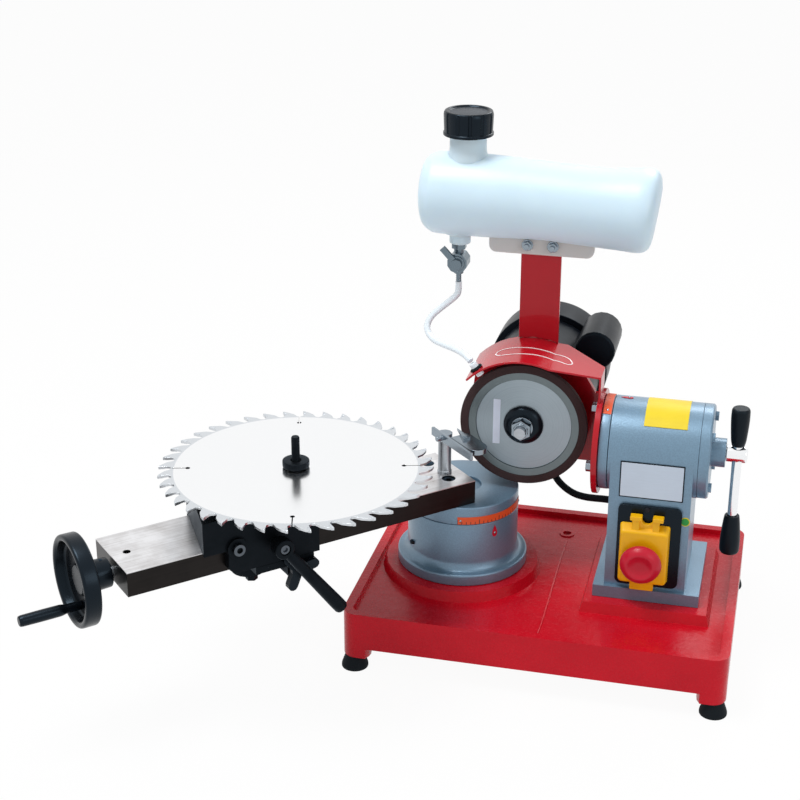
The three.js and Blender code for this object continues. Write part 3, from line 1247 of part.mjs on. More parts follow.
piece("tilt_ring", tiltRingBody(), materials.greyPaint, machine);
piece("head_bracket", headBracket(), materials.redPaint, machine);
piece("wheel_guard", wheelGuard(), materials.redPaint, machine);
piece("spray_nozzle", sprayNozzle(), materials.blackRubber, machine);
piece("tank_post", tankPost(), materials.redPaint, machine);
piece("motor_housing", motorHousing(), materials.blackPlastic, machine);
piece("motor_end_shield", motorEndShield(), materials.core, machine);
piece("fan_cover", motorFanCover(), materials.blackPlastic, machine);
piece("capacitor_cover", capacitorCover(), materials.blackPlastic, machine);
piece("stator_core", statorCore(), materials.core, machine);
piece("front_bearing", ballBearing(bearing.frontY), materials.brightSteel, machine);
piece("rear_bearing", ballBearing(motor.back - endShield.thickness), materials.brightSteel, machine);
piece("motor_lead", motorLeadTube(), materials.blackRubber, machine);

piece("rotor_shaft", rotorShaft(), materials.brightSteel, machine);
piece("inner_flange", wheelInnerFlange(), materials.blackOxide, machine);
piece("grinding_wheel", grindingWheel(), materials.core, machine);
piece("outer_flange", wheelOuterFlange(), materials.blackOxide, machine);
piece("arbor_nut", arborNutBody(), materials.chrome, machine);

piece("coolant_tank", coolantTank(), materials.tankPlastic, machine);
piece("tank_cap", tankCapBody(), materials.blackPlastic, machine);
piece("tap_body", tapBody(), materials.chrome, machine);
piece("tap_lever", tapLeverBody(), materials.chrome, machine);
piece("coolant_hose", coolantHose(), materials.hosePlastic, machine);

// The finished part stands with the middle of its own bounds over the origin
const part = new THREE.Group();
part.add(machine);
part.updateMatrixWorld(true);
const middle = new THREE.Box3().setFromObject(machine, true).getCenter(new THREE.Vector3());
machine.position.set(-middle.x, -middle.y, 0);

export default part;
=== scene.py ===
"""Looks of the saw blade sharpening machine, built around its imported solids.

Sizes are in millimetres in the drawing's own frame: the origin is on the ground under the
middle of the base, +X runs along the front edge and +Y runs away from the front.
"""

import json
import logging
import math
from dataclasses import dataclass
from enum import Enum

import bmesh
import bpy
import numpy as np
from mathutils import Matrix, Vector

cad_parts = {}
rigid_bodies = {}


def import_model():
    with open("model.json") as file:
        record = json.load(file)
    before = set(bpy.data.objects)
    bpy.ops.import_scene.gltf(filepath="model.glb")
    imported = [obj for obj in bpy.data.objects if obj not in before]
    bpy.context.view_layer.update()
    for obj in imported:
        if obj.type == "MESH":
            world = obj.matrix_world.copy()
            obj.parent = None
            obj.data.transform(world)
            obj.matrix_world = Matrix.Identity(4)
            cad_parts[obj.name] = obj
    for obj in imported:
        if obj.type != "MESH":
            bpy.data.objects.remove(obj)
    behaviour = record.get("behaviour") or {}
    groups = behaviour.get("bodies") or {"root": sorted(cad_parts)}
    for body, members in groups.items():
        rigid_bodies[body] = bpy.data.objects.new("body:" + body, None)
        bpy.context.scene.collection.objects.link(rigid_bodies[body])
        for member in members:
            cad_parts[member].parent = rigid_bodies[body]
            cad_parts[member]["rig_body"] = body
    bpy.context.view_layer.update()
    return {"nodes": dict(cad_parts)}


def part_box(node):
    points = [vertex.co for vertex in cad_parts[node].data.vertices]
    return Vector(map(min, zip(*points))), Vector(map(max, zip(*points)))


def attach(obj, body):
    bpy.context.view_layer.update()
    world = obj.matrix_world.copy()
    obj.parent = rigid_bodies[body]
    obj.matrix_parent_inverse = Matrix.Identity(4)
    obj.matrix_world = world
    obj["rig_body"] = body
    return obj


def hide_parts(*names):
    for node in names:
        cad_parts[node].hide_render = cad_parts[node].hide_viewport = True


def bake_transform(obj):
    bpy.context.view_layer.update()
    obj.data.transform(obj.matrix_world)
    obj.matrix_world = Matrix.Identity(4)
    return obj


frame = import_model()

logging.basicConfig(level=logging.INFO, format="%(name)s: %(message)s")
log = logging.getLogger("sharpener")

Point = tuple[float, float, float]
Faces = list[tuple[int, ...]]
Socket = bpy.types.NodeSocket

MM = 0.001
TRAY_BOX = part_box("base_casting")
SHIFT = np.array([(TRAY_BOX[0].x + TRAY_BOX[1].x) / 2, (TRAY_BOX[0].y + TRAY_BOX[1].y) / 2, 0.0])


class Axis(Enum):
    """The direction that a turned or pushed shape runs along."""

    X = 0
    Y = 1
    Z = 2

    @property
    def others(self) -> list[int]:
        """The numbers of the two other axes, in order."""
        return [i for i in range(3) if i != self.value]


@dataclass(frozen=True)
class Place:
    """A local frame in the drawing: an origin in millimetres and a turn about Z in degrees."""

    origin: Point = (0.0, 0.0, 0.0)
    turn: float = 0.0

    def put(self, points: np.ndarray) -> np.ndarray:
        """Turns local points about Z, moves them to the shared frame and makes them metres.

        Args:
            points: an array whose last axis holds x, y and z in millimetres.

        Returns:
            The same points in metres.
        """
        c, s = math.cos(math.radians(self.turn)), math.sin(math.radians(self.turn))
        turn = np.array([[c, -s, 0], [s, c, 0], [0, 0, 1]])
        return (points @ turn.T + np.array(self.origin)) * MM + SHIFT


WORLD = Place()
DRUM = Place((-92.5, 0.0, 0.0))
RAIL = Place(DRUM.origin, 44.4)
RAIL_OFFSET = -4.9
HOUSING = Place((0.0, 0.0, 210.0))
GAP = 0.02
# The third tint is a painted reflection: it turns the gloss of black parts blue, as if they mirrored a sky.
RED_TINT, SHEET_TINT, SKY_REFLECTION_TINT = (1.0, 0.42, 0.46, 1), (1.0, 0.5, 0.55, 1), (0.55, 0.78, 1.0, 1)


@dataclass
class Surface:
    """Points and faces of one closed or open skin, with an optional UV for each point."""

    points: np.ndarray
    faces: Faces
    uv: np.ndarray | None = None

    def joined(self, *others: "Surface") -> "Surface":
        """Puts several skins in one mesh.

        Args:
            others: the skins that are added.

        Returns:
            One surface that holds them all.
        """
        whole = self
        for other in others:
            shift = len(whole.points)
            faces = whole.faces + [tuple(i + shift for i in face) for face in other.faces]
            both = whole.uv is not None and other.uv is not None
            uv = np.vstack([whole.uv, other.uv]) if both else None
            whole = Surface(np.vstack([whole.points, other.points]), faces, uv)
        return whole

    def moved(self, turn: np.ndarray, place: np.ndarray) -> "Surface":
        """The skin with each point turned by a matrix and moved, without its UV."""
        return Surface(self.points @ turn.T + place, self.faces)

    def fluted(self, share: np.ndarray, place: Point) -> "Surface":
        """The skin with each point's x and y multiplied by its share, and then moved."""
        return Surface(self.points * np.stack([share, share, np.ones_like(share)], axis=-1) + place, self.faces)


def grid_faces(rows: int, columns: int, wrap: bool = True, ends: bool = False) -> Faces:
    """Quads between neighbouring rows and columns of a grid.

    Args:
        rows: how many rows of points there are.
        columns: how many points each row has.
        wrap: whether the last column meets the first.
        ends: whether the first and last rows are closed by a flat face.

    Returns:
        The point numbers of each face.
    """
    i, j = np.meshgrid(np.arange(rows - 1), np.arange(columns if wrap else columns - 1), indexing="ij")
    k = (j + 1) % columns
    low, high = i * columns, (i + 1) * columns
    faces = [tuple(q) for q in np.stack([low + j, low + k, high + k, high + j], axis=-1).reshape(-1, 4).tolist()]
    if ends:
        faces += [tuple(range(columns - 1, -1, -1)), tuple(range((rows - 1) * columns, rows * columns))]
    return faces


def rounded(profile: list[tuple[float, ...]], steps: int = 4) -> np.ndarray:
    """Replaces each profile corner by a curve that starts and ends at the length given third.

    The length is cut back to just under half the shorter side. The curve is the quadratic
    (1 - t)^2 start + 2 t (1 - t) corner + t^2 end.

    Args:
        profile: radius and place of each corner, with an optional rounding length.
        steps: segments in each curve.

    Returns:
        The new outline as an array of radius and place.
    """
    corners = [np.array(c[:2], float) for c in profile]
    made = [corners[0]]
    for before, corner, after, raw in zip(corners, corners[1:], corners[2:], profile[1:-1]):
        if len(raw) < 3:
            made.append(corner)
            continue
        back, ahead = before - corner, after - corner
        reach = min(raw[2], np.linalg.norm(back) * 0.49, np.linalg.norm(ahead) * 0.49)
        start = corner + back / np.linalg.norm(back) * reach
        end = corner + ahead / np.linalg.norm(ahead) * reach
        t = np.linspace(0, 1, steps + 1)[:, None]
        made.extend((1 - t) ** 2 * start + 2 * t * (1 - t) * corner + t**2 * end)
    made.append(corners[-1])
    return np.array(made)


def turned(profile: np.ndarray, axis: Axis, centre: Point, sides: int = 64) -> Surface:
    """A surface of revolution: each profile point goes round the axis at its own radius.

    Args:
        profile: radius and place along the axis for each ring.
        axis: the axis of the turn.
        centre: a point on the axis, added to every point.
        sides: points round each ring.

    Returns:
        The skin, with u round the axis and v along the profile.
    """
    angle = np.linspace(0, 2 * np.pi, sides, endpoint=False)
    radius, place = profile[:, :1], profile[:, 1:]
    across, up = radius * np.cos(angle), radius * np.sin(angle)
    run = np.broadcast_to(place, across.shape)
    order = {Axis.X: (run, across, up), Axis.Y: (up, run, across), Axis.Z: (across, up, run)}[axis]
    points = np.stack(order, axis=-1).reshape(-1, 3) + np.array(centre)
    u, v = np.meshgrid(angle / (2 * np.pi), np.linspace(0, 1, len(profile)))
    return Surface(points, grid_faces(len(profile), sides), np.stack([u, v], axis=-1).reshape(-1, 2))


def lofted(rings: list[np.ndarray]) -> Surface:
    """A skin through rings with the same number of points, closed flat at both ends."""
    return Surface(np.vstack(rings), grid_faces(len(rings), len(rings[0]), ends=True))


def pushed(outline: np.ndarray, axis: Axis, low: float, high: float) -> Surface:
    """A flat outline pushed along an axis between two places, with a flat face at each end.

    Args:
        outline: the outline's two coordinates in the order of the other two axes.
        axis: the direction of the push.
        low: where it starts.
        high: where it ends.

    Returns:
        The closed skin.
    """
    points = np.zeros((2, len(outline), 3))
    points[:, :, axis.others] = outline
    points[0, :, axis.value], points[1, :, axis.value] = low, high
    return lofted(list(points))


def rectangle(x: tuple[float, float], y: tuple[float, float], corner: float = 0.0, steps: int = 5) -> np.ndarray:
    """A rectangle whose corners are quarter circles.

    Args:
        x: its low and high value on the first axis.
        y: its low and high value on the second axis.
        corner: the corner radius.
        steps: segments in each corner.

    Returns:
        The outline's points.
    """
    if corner <= 0:
        return np.array([[x[0], y[0]], [x[1], y[0]], [x[1], y[1]], [x[0], y[1]]])
    quarter = np.linspace(0, np.pi / 2, steps + 1)
    made = []
    for k, (i, j) in enumerate(((1, 1), (0, 1), (0, 0), (1, 0))):
        angle = quarter + k * np.pi / 2
        middle = np.array([x[i] + (1 - 2 * i) * corner, y[j] + (1 - 2 * j) * corner])
        made.append(middle + corner * np.stack([np.cos(angle), np.sin(angle)], axis=-1))
    return np.vstack(made)


def circle(radius: float, centre: tuple[float, float], sides: int = 32, turn: float = 0.0) -> np.ndarray:
    """Points on a circle from an angle in degrees on, or a regular polygon where there are few."""
    angle = np.linspace(0, 2 * np.pi, sides, endpoint=False) + math.radians(turn)
    return np.stack([centre[0] + radius * np.cos(angle), centre[1] + radius * np.sin(angle)], axis=-1)


def swept(path: np.ndarray, radius: np.ndarray | float, sides: int = 16) -> Surface:
    """A tube: a circle carried along a path, turned as little as possible from point to point.

    Each ring lies in the plane square to the path there. Its first direction is the last one
    with its part along the path taken away.

    Args:
        path: the points that the tube follows.
        radius: one radius, or one for each point.
        sides: points round each ring.

    Returns:
        The skin with flat ends, with u round the tube and v along it.
    """
    ahead = np.gradient(path, axis=0)
    ahead /= np.linalg.norm(ahead, axis=1)[:, None]
    first = np.cross(ahead[0], [0.3, 0.2, 1.0])
    sideways = []
    for direction in ahead:
        first = first - direction * np.dot(first, direction)
        first = first / np.linalg.norm(first)
        sideways.append(first)
    one = np.array(sideways)
    two = np.cross(ahead, one)
    angle = np.linspace(0, 2 * np.pi, sides, endpoint=False)
    size = np.broadcast_to(np.asarray(radius, float), (len(path),))[:, None, None]
    c, s = np.cos(angle)[None, :, None], np.sin(angle)[None, :, None]
    points = (path[:, None, :] + size * (one[:, None, :] * c + two[:, None, :] * s)).reshape(-1, 3)
    along = np.concatenate([[0], np.cumsum(np.linalg.norm(np.diff(path, axis=0), axis=1))])
    u, v = np.meshgrid(angle / (2 * np.pi), along)
    return Surface(points, grid_faces(len(path), sides, ends=True), np.stack([u, v], axis=-1).reshape(-1, 2))


def smooth_path(points: list[Point] | tuple[Point, ...], count: int) -> np.ndarray:
    """A smooth curve through points: each stretch is a cubic whose slopes are half the chord
    between its neighbours.

    Args:
        points: the points that the curve passes.
        count: how many evenly spaced points to return.

    Returns:
        The curve's points.
    """
    p = np.array(points, float)
    p = np.vstack([2 * p[0] - p[1], p, 2 * p[-1] - p[-2]])
    t = np.linspace(0, 1, 12, endpoint=False)[:, None]
    made = []
    for a, b, c, d in zip(p, p[1:], p[2:], p[3:]):
        square, cube = 2 * a - 5 * b + 4 * c - d, 3 * b - a - 3 * c + d
        made.append(0.5 * (2 * b + (c - a) * t + square * t**2 + cube * t**3))
    dense = np.vstack(made + [p[-2:-1]])
    along = np.concatenate([[0], np.cumsum(np.linalg.norm(np.diff(dense, axis=0), axis=1))])
    wanted = np.linspace(0, along[-1], count)
    return np.stack([np.interp(wanted, along, dense[:, k]) for k in range(3)], axis=-1)


def round_about(axis: Axis, radius: np.ndarray, angle: np.ndarray, run: np.ndarray) -> np.ndarray:
    """Points at a radius, an angle and a place along an axis.

    Round X the angle is measured from the back towards the top, round Z from the right towards
    the back.
    """
    across, up = radius * np.cos(angle), radius * np.sin(angle)
    run = np.broadcast_to(run, across.shape)
    return np.stack((run, across, up) if axis is Axis.X else (across, up, run), axis=-1)


def bent_plate(
    axis: Axis, radius: float, run: tuple[float, float], arc: tuple[float, float], thick: float, count: int
) -> Surface:
    """A thin plate bent round a cylinder: two cylinder patches a thickness apart, joined at the rim.

    Args:
        axis: the cylinder's axis.
        radius: the cylinder's radius.
        run: the plate's ends along the axis.
        arc: its first and last angle in degrees.
        thick: how far it stands out.
        count: rows round the bend.

    Returns:
        The closed skin, with u round the bend and v along the axis.
    """
    angle = np.radians(np.linspace(*arc, count))[:, None]
    inner, outer = radius + GAP, radius + thick
    reach, along = np.array([[inner, outer, outer, inner]]), np.array([[run[0], run[0], run[1], run[1]]])
    points = round_about(axis, reach, angle, along).reshape(-1, 3)
    uv = np.stack([np.repeat(np.linspace(0, 1, count), 4), np.tile([0.0, 0.0, 1.0, 1.0], count)], axis=-1)
    return Surface(points, grid_faces(count, 4, ends=True), uv)



def drop_mark(axis: Axis, radius: float, angle: float, place: float, half: float, length: float) -> Surface:
    """A drop-shaped plate on a cylinder, half sin t sin(t/2)^1.2 wide and length cos t long.

    Args:
        axis: the cylinder's axis.
        radius: the cylinder's radius.
        angle: the drop's angle in degrees.
        place: its middle along the axis.
        half: its half width.
        length: its half length, below zero where its tip points back.

    Returns:
        The closed skin.
    """
    t = np.linspace(0, 2 * np.pi, 30, endpoint=False)
    turn = math.radians(angle) + half * np.sin(t) * np.sin(t / 2) ** 1.2 / radius
    return lofted([round_about(axis, radius + out, turn, place + length * np.cos(t)) for out in (GAP, 0.45)])


def rivet_head(axis: Axis, radius: float, angle: float, place: float, rises: tuple[float, ...]) -> Surface:
    """A small dome that points away from a cylinder's axis.

    Args:
        axis: the cylinder's axis.
        radius: how far out the dome starts.
        angle: its angle in degrees.
        place: its place along the axis.
        rises: the heights of its rings above the first.

    Returns:
        The closed skin.
    """
    rings = np.stack([np.array([1.3, 1.25, 0.9, 0.4, 0.0]), np.array([0.0, *rises])], axis=-1)
    dome = turned(rings, Axis.Z, (0, 0, radius), 16)
    c, s = math.cos(math.radians(angle)), math.sin(math.radians(angle))
    turn = [[1, 0, 0], [0, s, c], [0, -c, s]] if axis is Axis.X else [[-s, 0, c], [c, 0, s], [0, 1, 0]]
    shift = np.array([place, 0, 0] if axis is Axis.X else [0, 0, place])
    moved = dome.moved(np.array(turn), shift)
    return Surface(moved.points, moved.faces + [tuple(range(15, -1, -1))])


def ring_of_blocks(
    corners: list[tuple[float, float]], angles: np.ndarray, centre: tuple[float, float], run: tuple[float, float],
    axis: Axis,
) -> Surface:
    """Flat blocks set round an axis: one outline turned to each angle and pushed between two places.

    Args:
        corners: four corners as a distance outwards and a distance sideways.
        angles: the angle of each block.
        centre: the axis's place on the other two axes.
        run: where each block starts and ends along the axis.
        axis: the axis that the blocks are set round.

    Returns:
        The skin of all blocks.
    """
    outward, side = np.array(corners).T
    c, s = np.cos(angles)[:, None], np.sin(angles)[:, None]
    points = np.zeros((len(angles), 2, 4, 3))
    points[..., axis.others[0]] = (centre[0] + outward * c - side * s)[:, None, :]
    points[..., axis.others[1]] = (centre[1] + outward * s + side * c)[:, None, :]
    points[..., axis.value] = np.array(run)[None, :, None]
    cell = [(0, 1, 5, 4), (1, 2, 6, 5), (2, 3, 7, 6), (3, 0, 4, 7), (3, 2, 1, 0), (4, 5, 6, 7)]
    faces = [tuple(8 * k + i for i in face) for k in range(len(angles)) for face in cell]
    return Surface(points.reshape(-1, 3), faces)


@dataclass
class Tree:
    """The node tree of a material or of the world while it is being wired."""

    tree: bpy.types.NodeTree

    @property
    def shader(self) -> bpy.types.Node:
        """The material's main shader."""
        return self.tree.nodes["Principled BSDF"]

    def add(self, kind: str, **values: object) -> bpy.types.Node:
        """Adds a node of a kind and sets the named properties on it."""
        node = self.tree.nodes.new(kind)
        for key, value in values.items():
            setattr(node, key, value)
        return node

    def link(self, source: Socket | Point, target: Socket) -> None:
        """Joins two sockets, or sets the target to a plain value or colour."""
        if isinstance(source, Socket):
            self.tree.links.new(source, target)
        else:
            target.default_value = (*source, 1) if isinstance(source, tuple) else source

    def mapped(self, source: Socket, name: str, value: Point) -> Socket:
        """A place after a Mapping node whose Location, Rotation or Scale is set."""
        node = self.add("ShaderNodeMapping", vector_type="POINT")
        node.inputs[name].default_value = value
        self.link(source, node.inputs["Vector"])
        return node.outputs[0]

    def where(self, scale: Point = (1, 1, 1), on_rail: bool = False) -> Socket:
        """Object coordinates times a stretch, turned to lie along the rail first where asked."""
        source = self.add("ShaderNodeTexCoord").outputs["Object"]
        if on_rail:
            source = self.mapped(source, "Location", tuple(-float(v) for v in RAIL.put(np.zeros(3))))
            source = self.mapped(source, "Rotation", (0, 0, math.radians(-RAIL.turn)))
        return self.mapped(source, "Scale", scale)

    def distance(self, centre: Point, axis: Axis) -> Socket:
        """The distance from a line through a point in metres along an axis."""
        node = self.add("ShaderNodeMapping", vector_type="POINT")
        flat = [0.0 if i == axis.value else 1.0 for i in range(3)]
        node.inputs["Location"].default_value = [-c * f for c, f in zip(centre, flat)]
        node.inputs["Scale"].default_value = flat
        self.link(self.add("ShaderNodeTexCoord").outputs["Object"], node.inputs["Vector"])
        length = self.add("ShaderNodeVectorMath", operation="LENGTH")
        self.link(node.outputs[0], length.inputs[0])
        return length.outputs["Value"]

    def noise(self, place: Socket, scale: float, detail: float = 3.0, rough: float = 0.55) -> Socket:
        """A noise value between 0 and 1 at a place, of the given scale and detail."""
        node = self.add("ShaderNodeTexNoise")
        for name, value in (("Scale", scale), ("Detail", detail), ("Roughness", rough)):
            node.inputs[name].default_value = value
        self.link(place, node.inputs["Vector"])
        return node.outputs["Fac"]

    def rings(self, distance: Socket, scale: float, detail: float) -> Socket:
        """A noise value that depends on a distance only."""
        node = self.add("ShaderNodeTexNoise", noise_dimensions="1D")
        for name, value in (("Scale", scale), ("Detail", detail)):
            node.inputs[name].default_value = value
        self.link(distance, node.inputs["W"])
        return node.outputs["Fac"]

    def cells(self, place: Socket, scale: float, smooth: float = 0.6) -> Socket:
        """Distance to the nearest cell centre, with soft borders."""
        node = self.add("ShaderNodeTexVoronoi", feature="SMOOTH_F1")
        node.inputs["Scale"].default_value = scale
        node.inputs["Smoothness"].default_value = smooth
        self.link(place, node.inputs["Vector"])
        return node.outputs["Distance"]

    def ramp(self, value: Socket, stops: list[tuple[float, Point]]) -> Socket:
        """Turns a value into a colour along stops of place and colour."""
        node = self.add("ShaderNodeValToRGB")
        for element, (place, colour) in zip(node.color_ramp.elements, stops):
            element.position, element.color = place, (*colour, 1)
        self.link(value, node.inputs["Fac"])
        return node.outputs["Color"]

    def span(self, value: Socket, low: float, high: float, ends: tuple[float, float] = (0, 1)) -> Socket:
        """Maps a value that runs between two ends to low and high."""
        node = self.add("ShaderNodeMapRange")
        for name, number in zip(("From Min", "From Max", "To Min", "To Max"), (*ends, low, high)):
            node.inputs[name].default_value = number
        self.link(value, node.inputs["Value"])
        return node.outputs["Result"]

    def calc(self, operation: str, one: Socket, two: Socket | float) -> Socket:
        """The result of a Math operation on a value and a value or number."""
        node = self.add("ShaderNodeMath", operation=operation)
        self.link(one, node.inputs[0])
        self.link(two, node.inputs[1])
        return node.outputs[0]

    def sum(self, *values: Socket) -> Socket:
        """Adds values."""
        total = values[0]
        for value in values[1:]:
            total = self.calc("ADD", total, value)
        return total

    def shares(self, *parts: tuple[Socket, float]) -> Socket:
        """Adds values between 0 and 1, each times its own share."""
        return self.sum(*(self.span(value, 0.0, share) for value, share in parts))

    def mix(self, factor: Socket, one: Socket | Point, two: Socket | Point) -> Socket:
        """A colour between two colours."""
        node = self.add("ShaderNodeMix", data_type="RGBA")
        for source, target in ((factor, node.inputs["Factor"]), (one, node.inputs[6]), (two, node.inputs[7])):
            self.link(source, target)
        return node.outputs[2]

    def tone(
        self, value: Socket, colour: Point, low: float, high: float, stops: tuple[float, float] = (0.3, 0.7)
    ) -> Socket:
        """The colour times low at the first stop of a value and times high at the second."""
        ends = [tuple(min(1.0, c * share) for c in colour) for share in (low, high)]
        return self.ramp(value, list(zip(stops, ends)))

    def base(self, colour: Socket) -> None:
        """Links the base colour."""
        self.link(colour, self.shader.inputs["Base Color"])

    def rough(self, value: Socket, low: float, high: float) -> None:
        """Lets the roughness run from low to high with a value."""
        self.link(self.span(value, low, high), self.shader.inputs["Roughness"])

    def bump(self, height: Socket, strength: float, distance: float) -> None:
        """Bends the shader's normal by a height, whose unit is the distance in millimetres."""
        node = self.add("ShaderNodeBump")
        node.inputs["Strength"].default_value = strength
        node.inputs["Distance"].default_value = distance * MM
        self.link(height, node.inputs["Height"])
        self.link(node.outputs["Normal"], self.shader.inputs["Normal"])

    def set(self, **values: float | tuple[float, ...]) -> None:
        """Sets the shader's own sockets; an underscore stands for a space in a socket's name."""
        for key, value in values.items():
            self.shader.inputs[key.replace("_", " ")].default_value = value

    def seen_plainly(self) -> Socket:
        """A value that is 1 for rays from the camera, in a mirror or through glass, else 0."""
        rays = self.add("ShaderNodeLightPath").outputs
        seen = rays["Is Camera Ray"]
        for kind in ("Is Glossy Ray", "Is Transmission Ray"):
            seen = self.calc("MAXIMUM", seen, rays[kind])
        return seen


def linear(code: int) -> Point:
    """A colour written as hexadecimal display values, as the shader's linear values."""
    values = np.array([(code >> 16) & 255, (code >> 8) & 255, code & 255]) / 255
    low, high = values / 12.92, ((values + 0.055) / 1.055) ** 2.4
    return tuple(float(v) for v in np.where(values <= 0.04045, low, high))


@dataclass(frozen=True)
class Finish:
    """What every finish has: its name and its colour."""

    name: str
    colour: int

    def make(self) -> bpy.types.Material:
        """The material with its nodes wired, made once."""
        if self.name in bpy.data.materials:
            return bpy.data.materials[self.name]
        material = bpy.data.materials.new(self.name)
        material.use_nodes = True
        colour = linear(self.colour)
        material.diffuse_color = (*colour, 1)
        tree = Tree(material.node_tree)
        tree.set(Base_Color=(*colour, 1))
        self.dress(tree, colour)
        return material

    def dress(self, tree: Tree, colour: Point) -> None:
        """Wires the finish's own nodes."""
        raise NotImplementedError

    def vary(self, tree: Tree, colour: Point, scale: float, amount: float) -> None:
        """Lets the colour drift lighter and darker by an amount over patches of a scale."""
        tree.base(tree.tone(tree.noise(tree.where(), scale), colour, 1 - amount, 1 + amount))


@dataclass(frozen=True)
class CastPaint(Finish):
    """Glossy enamel over a casting whose skin shows through as a fine uneven grain."""

    grain: float = 300.0
    depth: float = 0.45
    roughness: float = 0.24

    def dress(self, tree: Tree, colour: Point) -> None:
        """Wires two scales of grain, a drift in colour and a thin clear coat."""
        self.vary(tree, colour, 14.0, 0.1)
        coarse = tree.noise(tree.where(), self.grain, 3.0, 0.5)
        wavy = tree.noise(tree.where(), self.grain * 0.28, 2.0, 0.5)
        tree.bump(tree.sum(coarse, tree.span(wavy, 0, 1.6)), 0.5, self.depth)
        tree.rough(coarse, self.roughness - 0.06, self.roughness + 0.1)
        tree.set(Coat_Weight=0.08, Coat_Roughness=0.1, Specular_IOR_Level=0.28, Specular_Tint=RED_TINT)


@dataclass(frozen=True)
class SheetPaint(Finish):
    """Smooth glossy enamel on sheet steel, with a slight orange peel."""

    def dress(self, tree: Tree, colour: Point) -> None:
        """Wires the orange peel and the coat."""
        self.vary(tree, colour, 9.0, 0.06)
        tree.bump(tree.noise(tree.where(), 190.0, 2.0), 0.12, 0.25)
        tree.rough(tree.noise(tree.where(), 22.0), 0.2, 0.3)
        tree.set(Coat_Weight=0.3, Coat_Roughness=0.06, Specular_IOR_Level=0.3, Specular_Tint=SHEET_TINT)


@dataclass(frozen=True)
class HammeredPaint(Finish):
    """Grey hammer finish: small soft dimples in a paint that carries metal flakes."""

    cell: float = 760.0

    def dress(self, tree: Tree, colour: Point) -> None:
        """Wires dimples as soft cells, flakes as a fine noise and a drift in tone."""
        place = tree.where()
        dimples = tree.cells(place, self.cell)
        speckle = tree.noise(place, 2100.0, 2.0)
        drift = tree.noise(place, 18.0, 3.0)
        value = tree.sum(
            tree.span(dimples, 0.0, 0.3, (0.0, 0.7)), tree.span(speckle, 0.0, 0.4), tree.span(drift, 0.0, 0.3)
        )
        tree.base(tree.tone(value, colour, 0.84, 1.16, (0.25, 0.75)))
        tree.bump(dimples, 0.22, 0.4)
        tree.rough(speckle, 0.3, 0.42)
        tree.set(Metallic=0.4, Coat_Weight=0.3, Coat_Roughness=0.16)


@dataclass(frozen=True)
class GroundSteel(Finish):
    """Machined steel with fine straight lines and faint stains."""

    roughness: float = 0.34
    stain: float = 0.25
    lines: Point = (25.0, 900.0, 900.0)

    def dress(self, tree: Tree, colour: Point) -> None:
        """Wires lines as a stretched noise and stains as a slow one."""
        streak = tree.noise(tree.where(self.lines), 1.0, 4.0, 0.6)
        stain = tree.noise(tree.where(), 26.0, 4.0, 0.6)
        value = tree.shares((streak, 0.45), (stain, 0.55))
        tree.base(tree.tone(value, colour, 1 - self.stain, 1 + self.stain))
        tree.rough(value, self.roughness - 0.08, self.roughness + 0.12)
        tree.bump(streak, 0.15, 0.08)
        tree.set(Metallic=0.92)


@dataclass(frozen=True)
class RailSteel(Finish):
    """Dark oiled flanks with a brighter ground top face, told apart by height."""

    top: int = 0xDADADC
    level: float = 171.4
    roughness: float = 0.36

    def dress(self, tree: Tree, colour: Point) -> None:
        """Wires the two tones and a mask that rises at the top face."""
        place = tree.where()
        split = tree.add("ShaderNodeSeparateXYZ")
        tree.link(place, split.inputs[0])
        mask = tree.span(split.outputs["Z"], 0, 1, ((self.level - 0.25) * MM, (self.level + 0.25) * MM))
        streak = tree.noise(tree.where((12.0, 500.0, 500.0), True), 1.0, 4.0, 0.6)
        stain = tree.noise(place, 30.0, 5.0, 0.62)
        value = tree.shares((streak, 0.35), (stain, 0.65))
        bright = linear(self.top)
        stained = tuple(a + (b - a) * 0.45 for a, b in zip(bright, (0.17, 0.13, 0.1)))
        over = tree.ramp(value, [(0.3, stained), (0.6, tuple(min(1, c * 1.15) for c in bright))])
        tree.base(tree.mix(mask, tree.tone(value, colour, 0.7, 1.35), over))
        tree.rough(value, self.roughness - 0.06, self.roughness + 0.14)
        tree.bump(streak, 0.12, 0.08)
        tree.set(Metallic=0.85)


@dataclass(frozen=True)
class BladeSteel(Finish):
    """Saw plate: a mirror-ground middle and a greyer ring at the teeth, turned about the stud."""

    centre: Point = (0.0, 0.0, 0.0)
    edge: float = 113.0
    rim: int = 0xD4D8DC

    def dress(self, tree: Tree, colour: Point) -> None:
        """Wires rings as a noise of the distance from the stud and a mask at the ring's edge."""
        distance = tree.distance(self.centre, Axis.Z)
        mask = tree.span(distance, 0, 1, ((self.edge - 0.4) * MM, (self.edge + 0.4) * MM))
        rings = tree.rings(distance, 900.0, 3.0)
        smear = tree.noise(tree.add("ShaderNodeTexCoord").outputs["Object"], 16.0, 3.0)
        tree.base(tree.mix(mask, colour, linear(self.rim)))
        rough = tree.sum(tree.span(rings, 0.12, 0.2), tree.span(smear, 0.0, 0.06), tree.span(mask, 0.0, 0.12))
        tree.link(rough, tree.shader.inputs["Roughness"])
        tree.bump(rings, 0.08, 0.04)
        tree.set(Metallic=1.0)


@dataclass(frozen=True)
class DiscMetal(Finish):
    """Spun aluminium body of the dish wheel, with faint rings."""

    centre: Point = (0.0, 0.0, 0.0)

    def dress(self, tree: Tree, colour: Point) -> None:
        """Wires rings as a noise of the distance from the spindle in the wheel's plane."""
        rings = tree.rings(tree.distance(self.centre, Axis.Y), 1400.0, 4.0)
        smear = tree.noise(tree.add("ShaderNodeTexCoord").outputs["Object"], 30.0, 3.0)
        value = tree.shares((rings, 0.6), (smear, 0.4))
        tree.base(tree.tone(value, colour, 0.86, 1.1))
        tree.rough(value, 0.34, 0.5)
        tree.bump(rings, 0.12, 0.05)
        tree.set(Metallic=0.8)


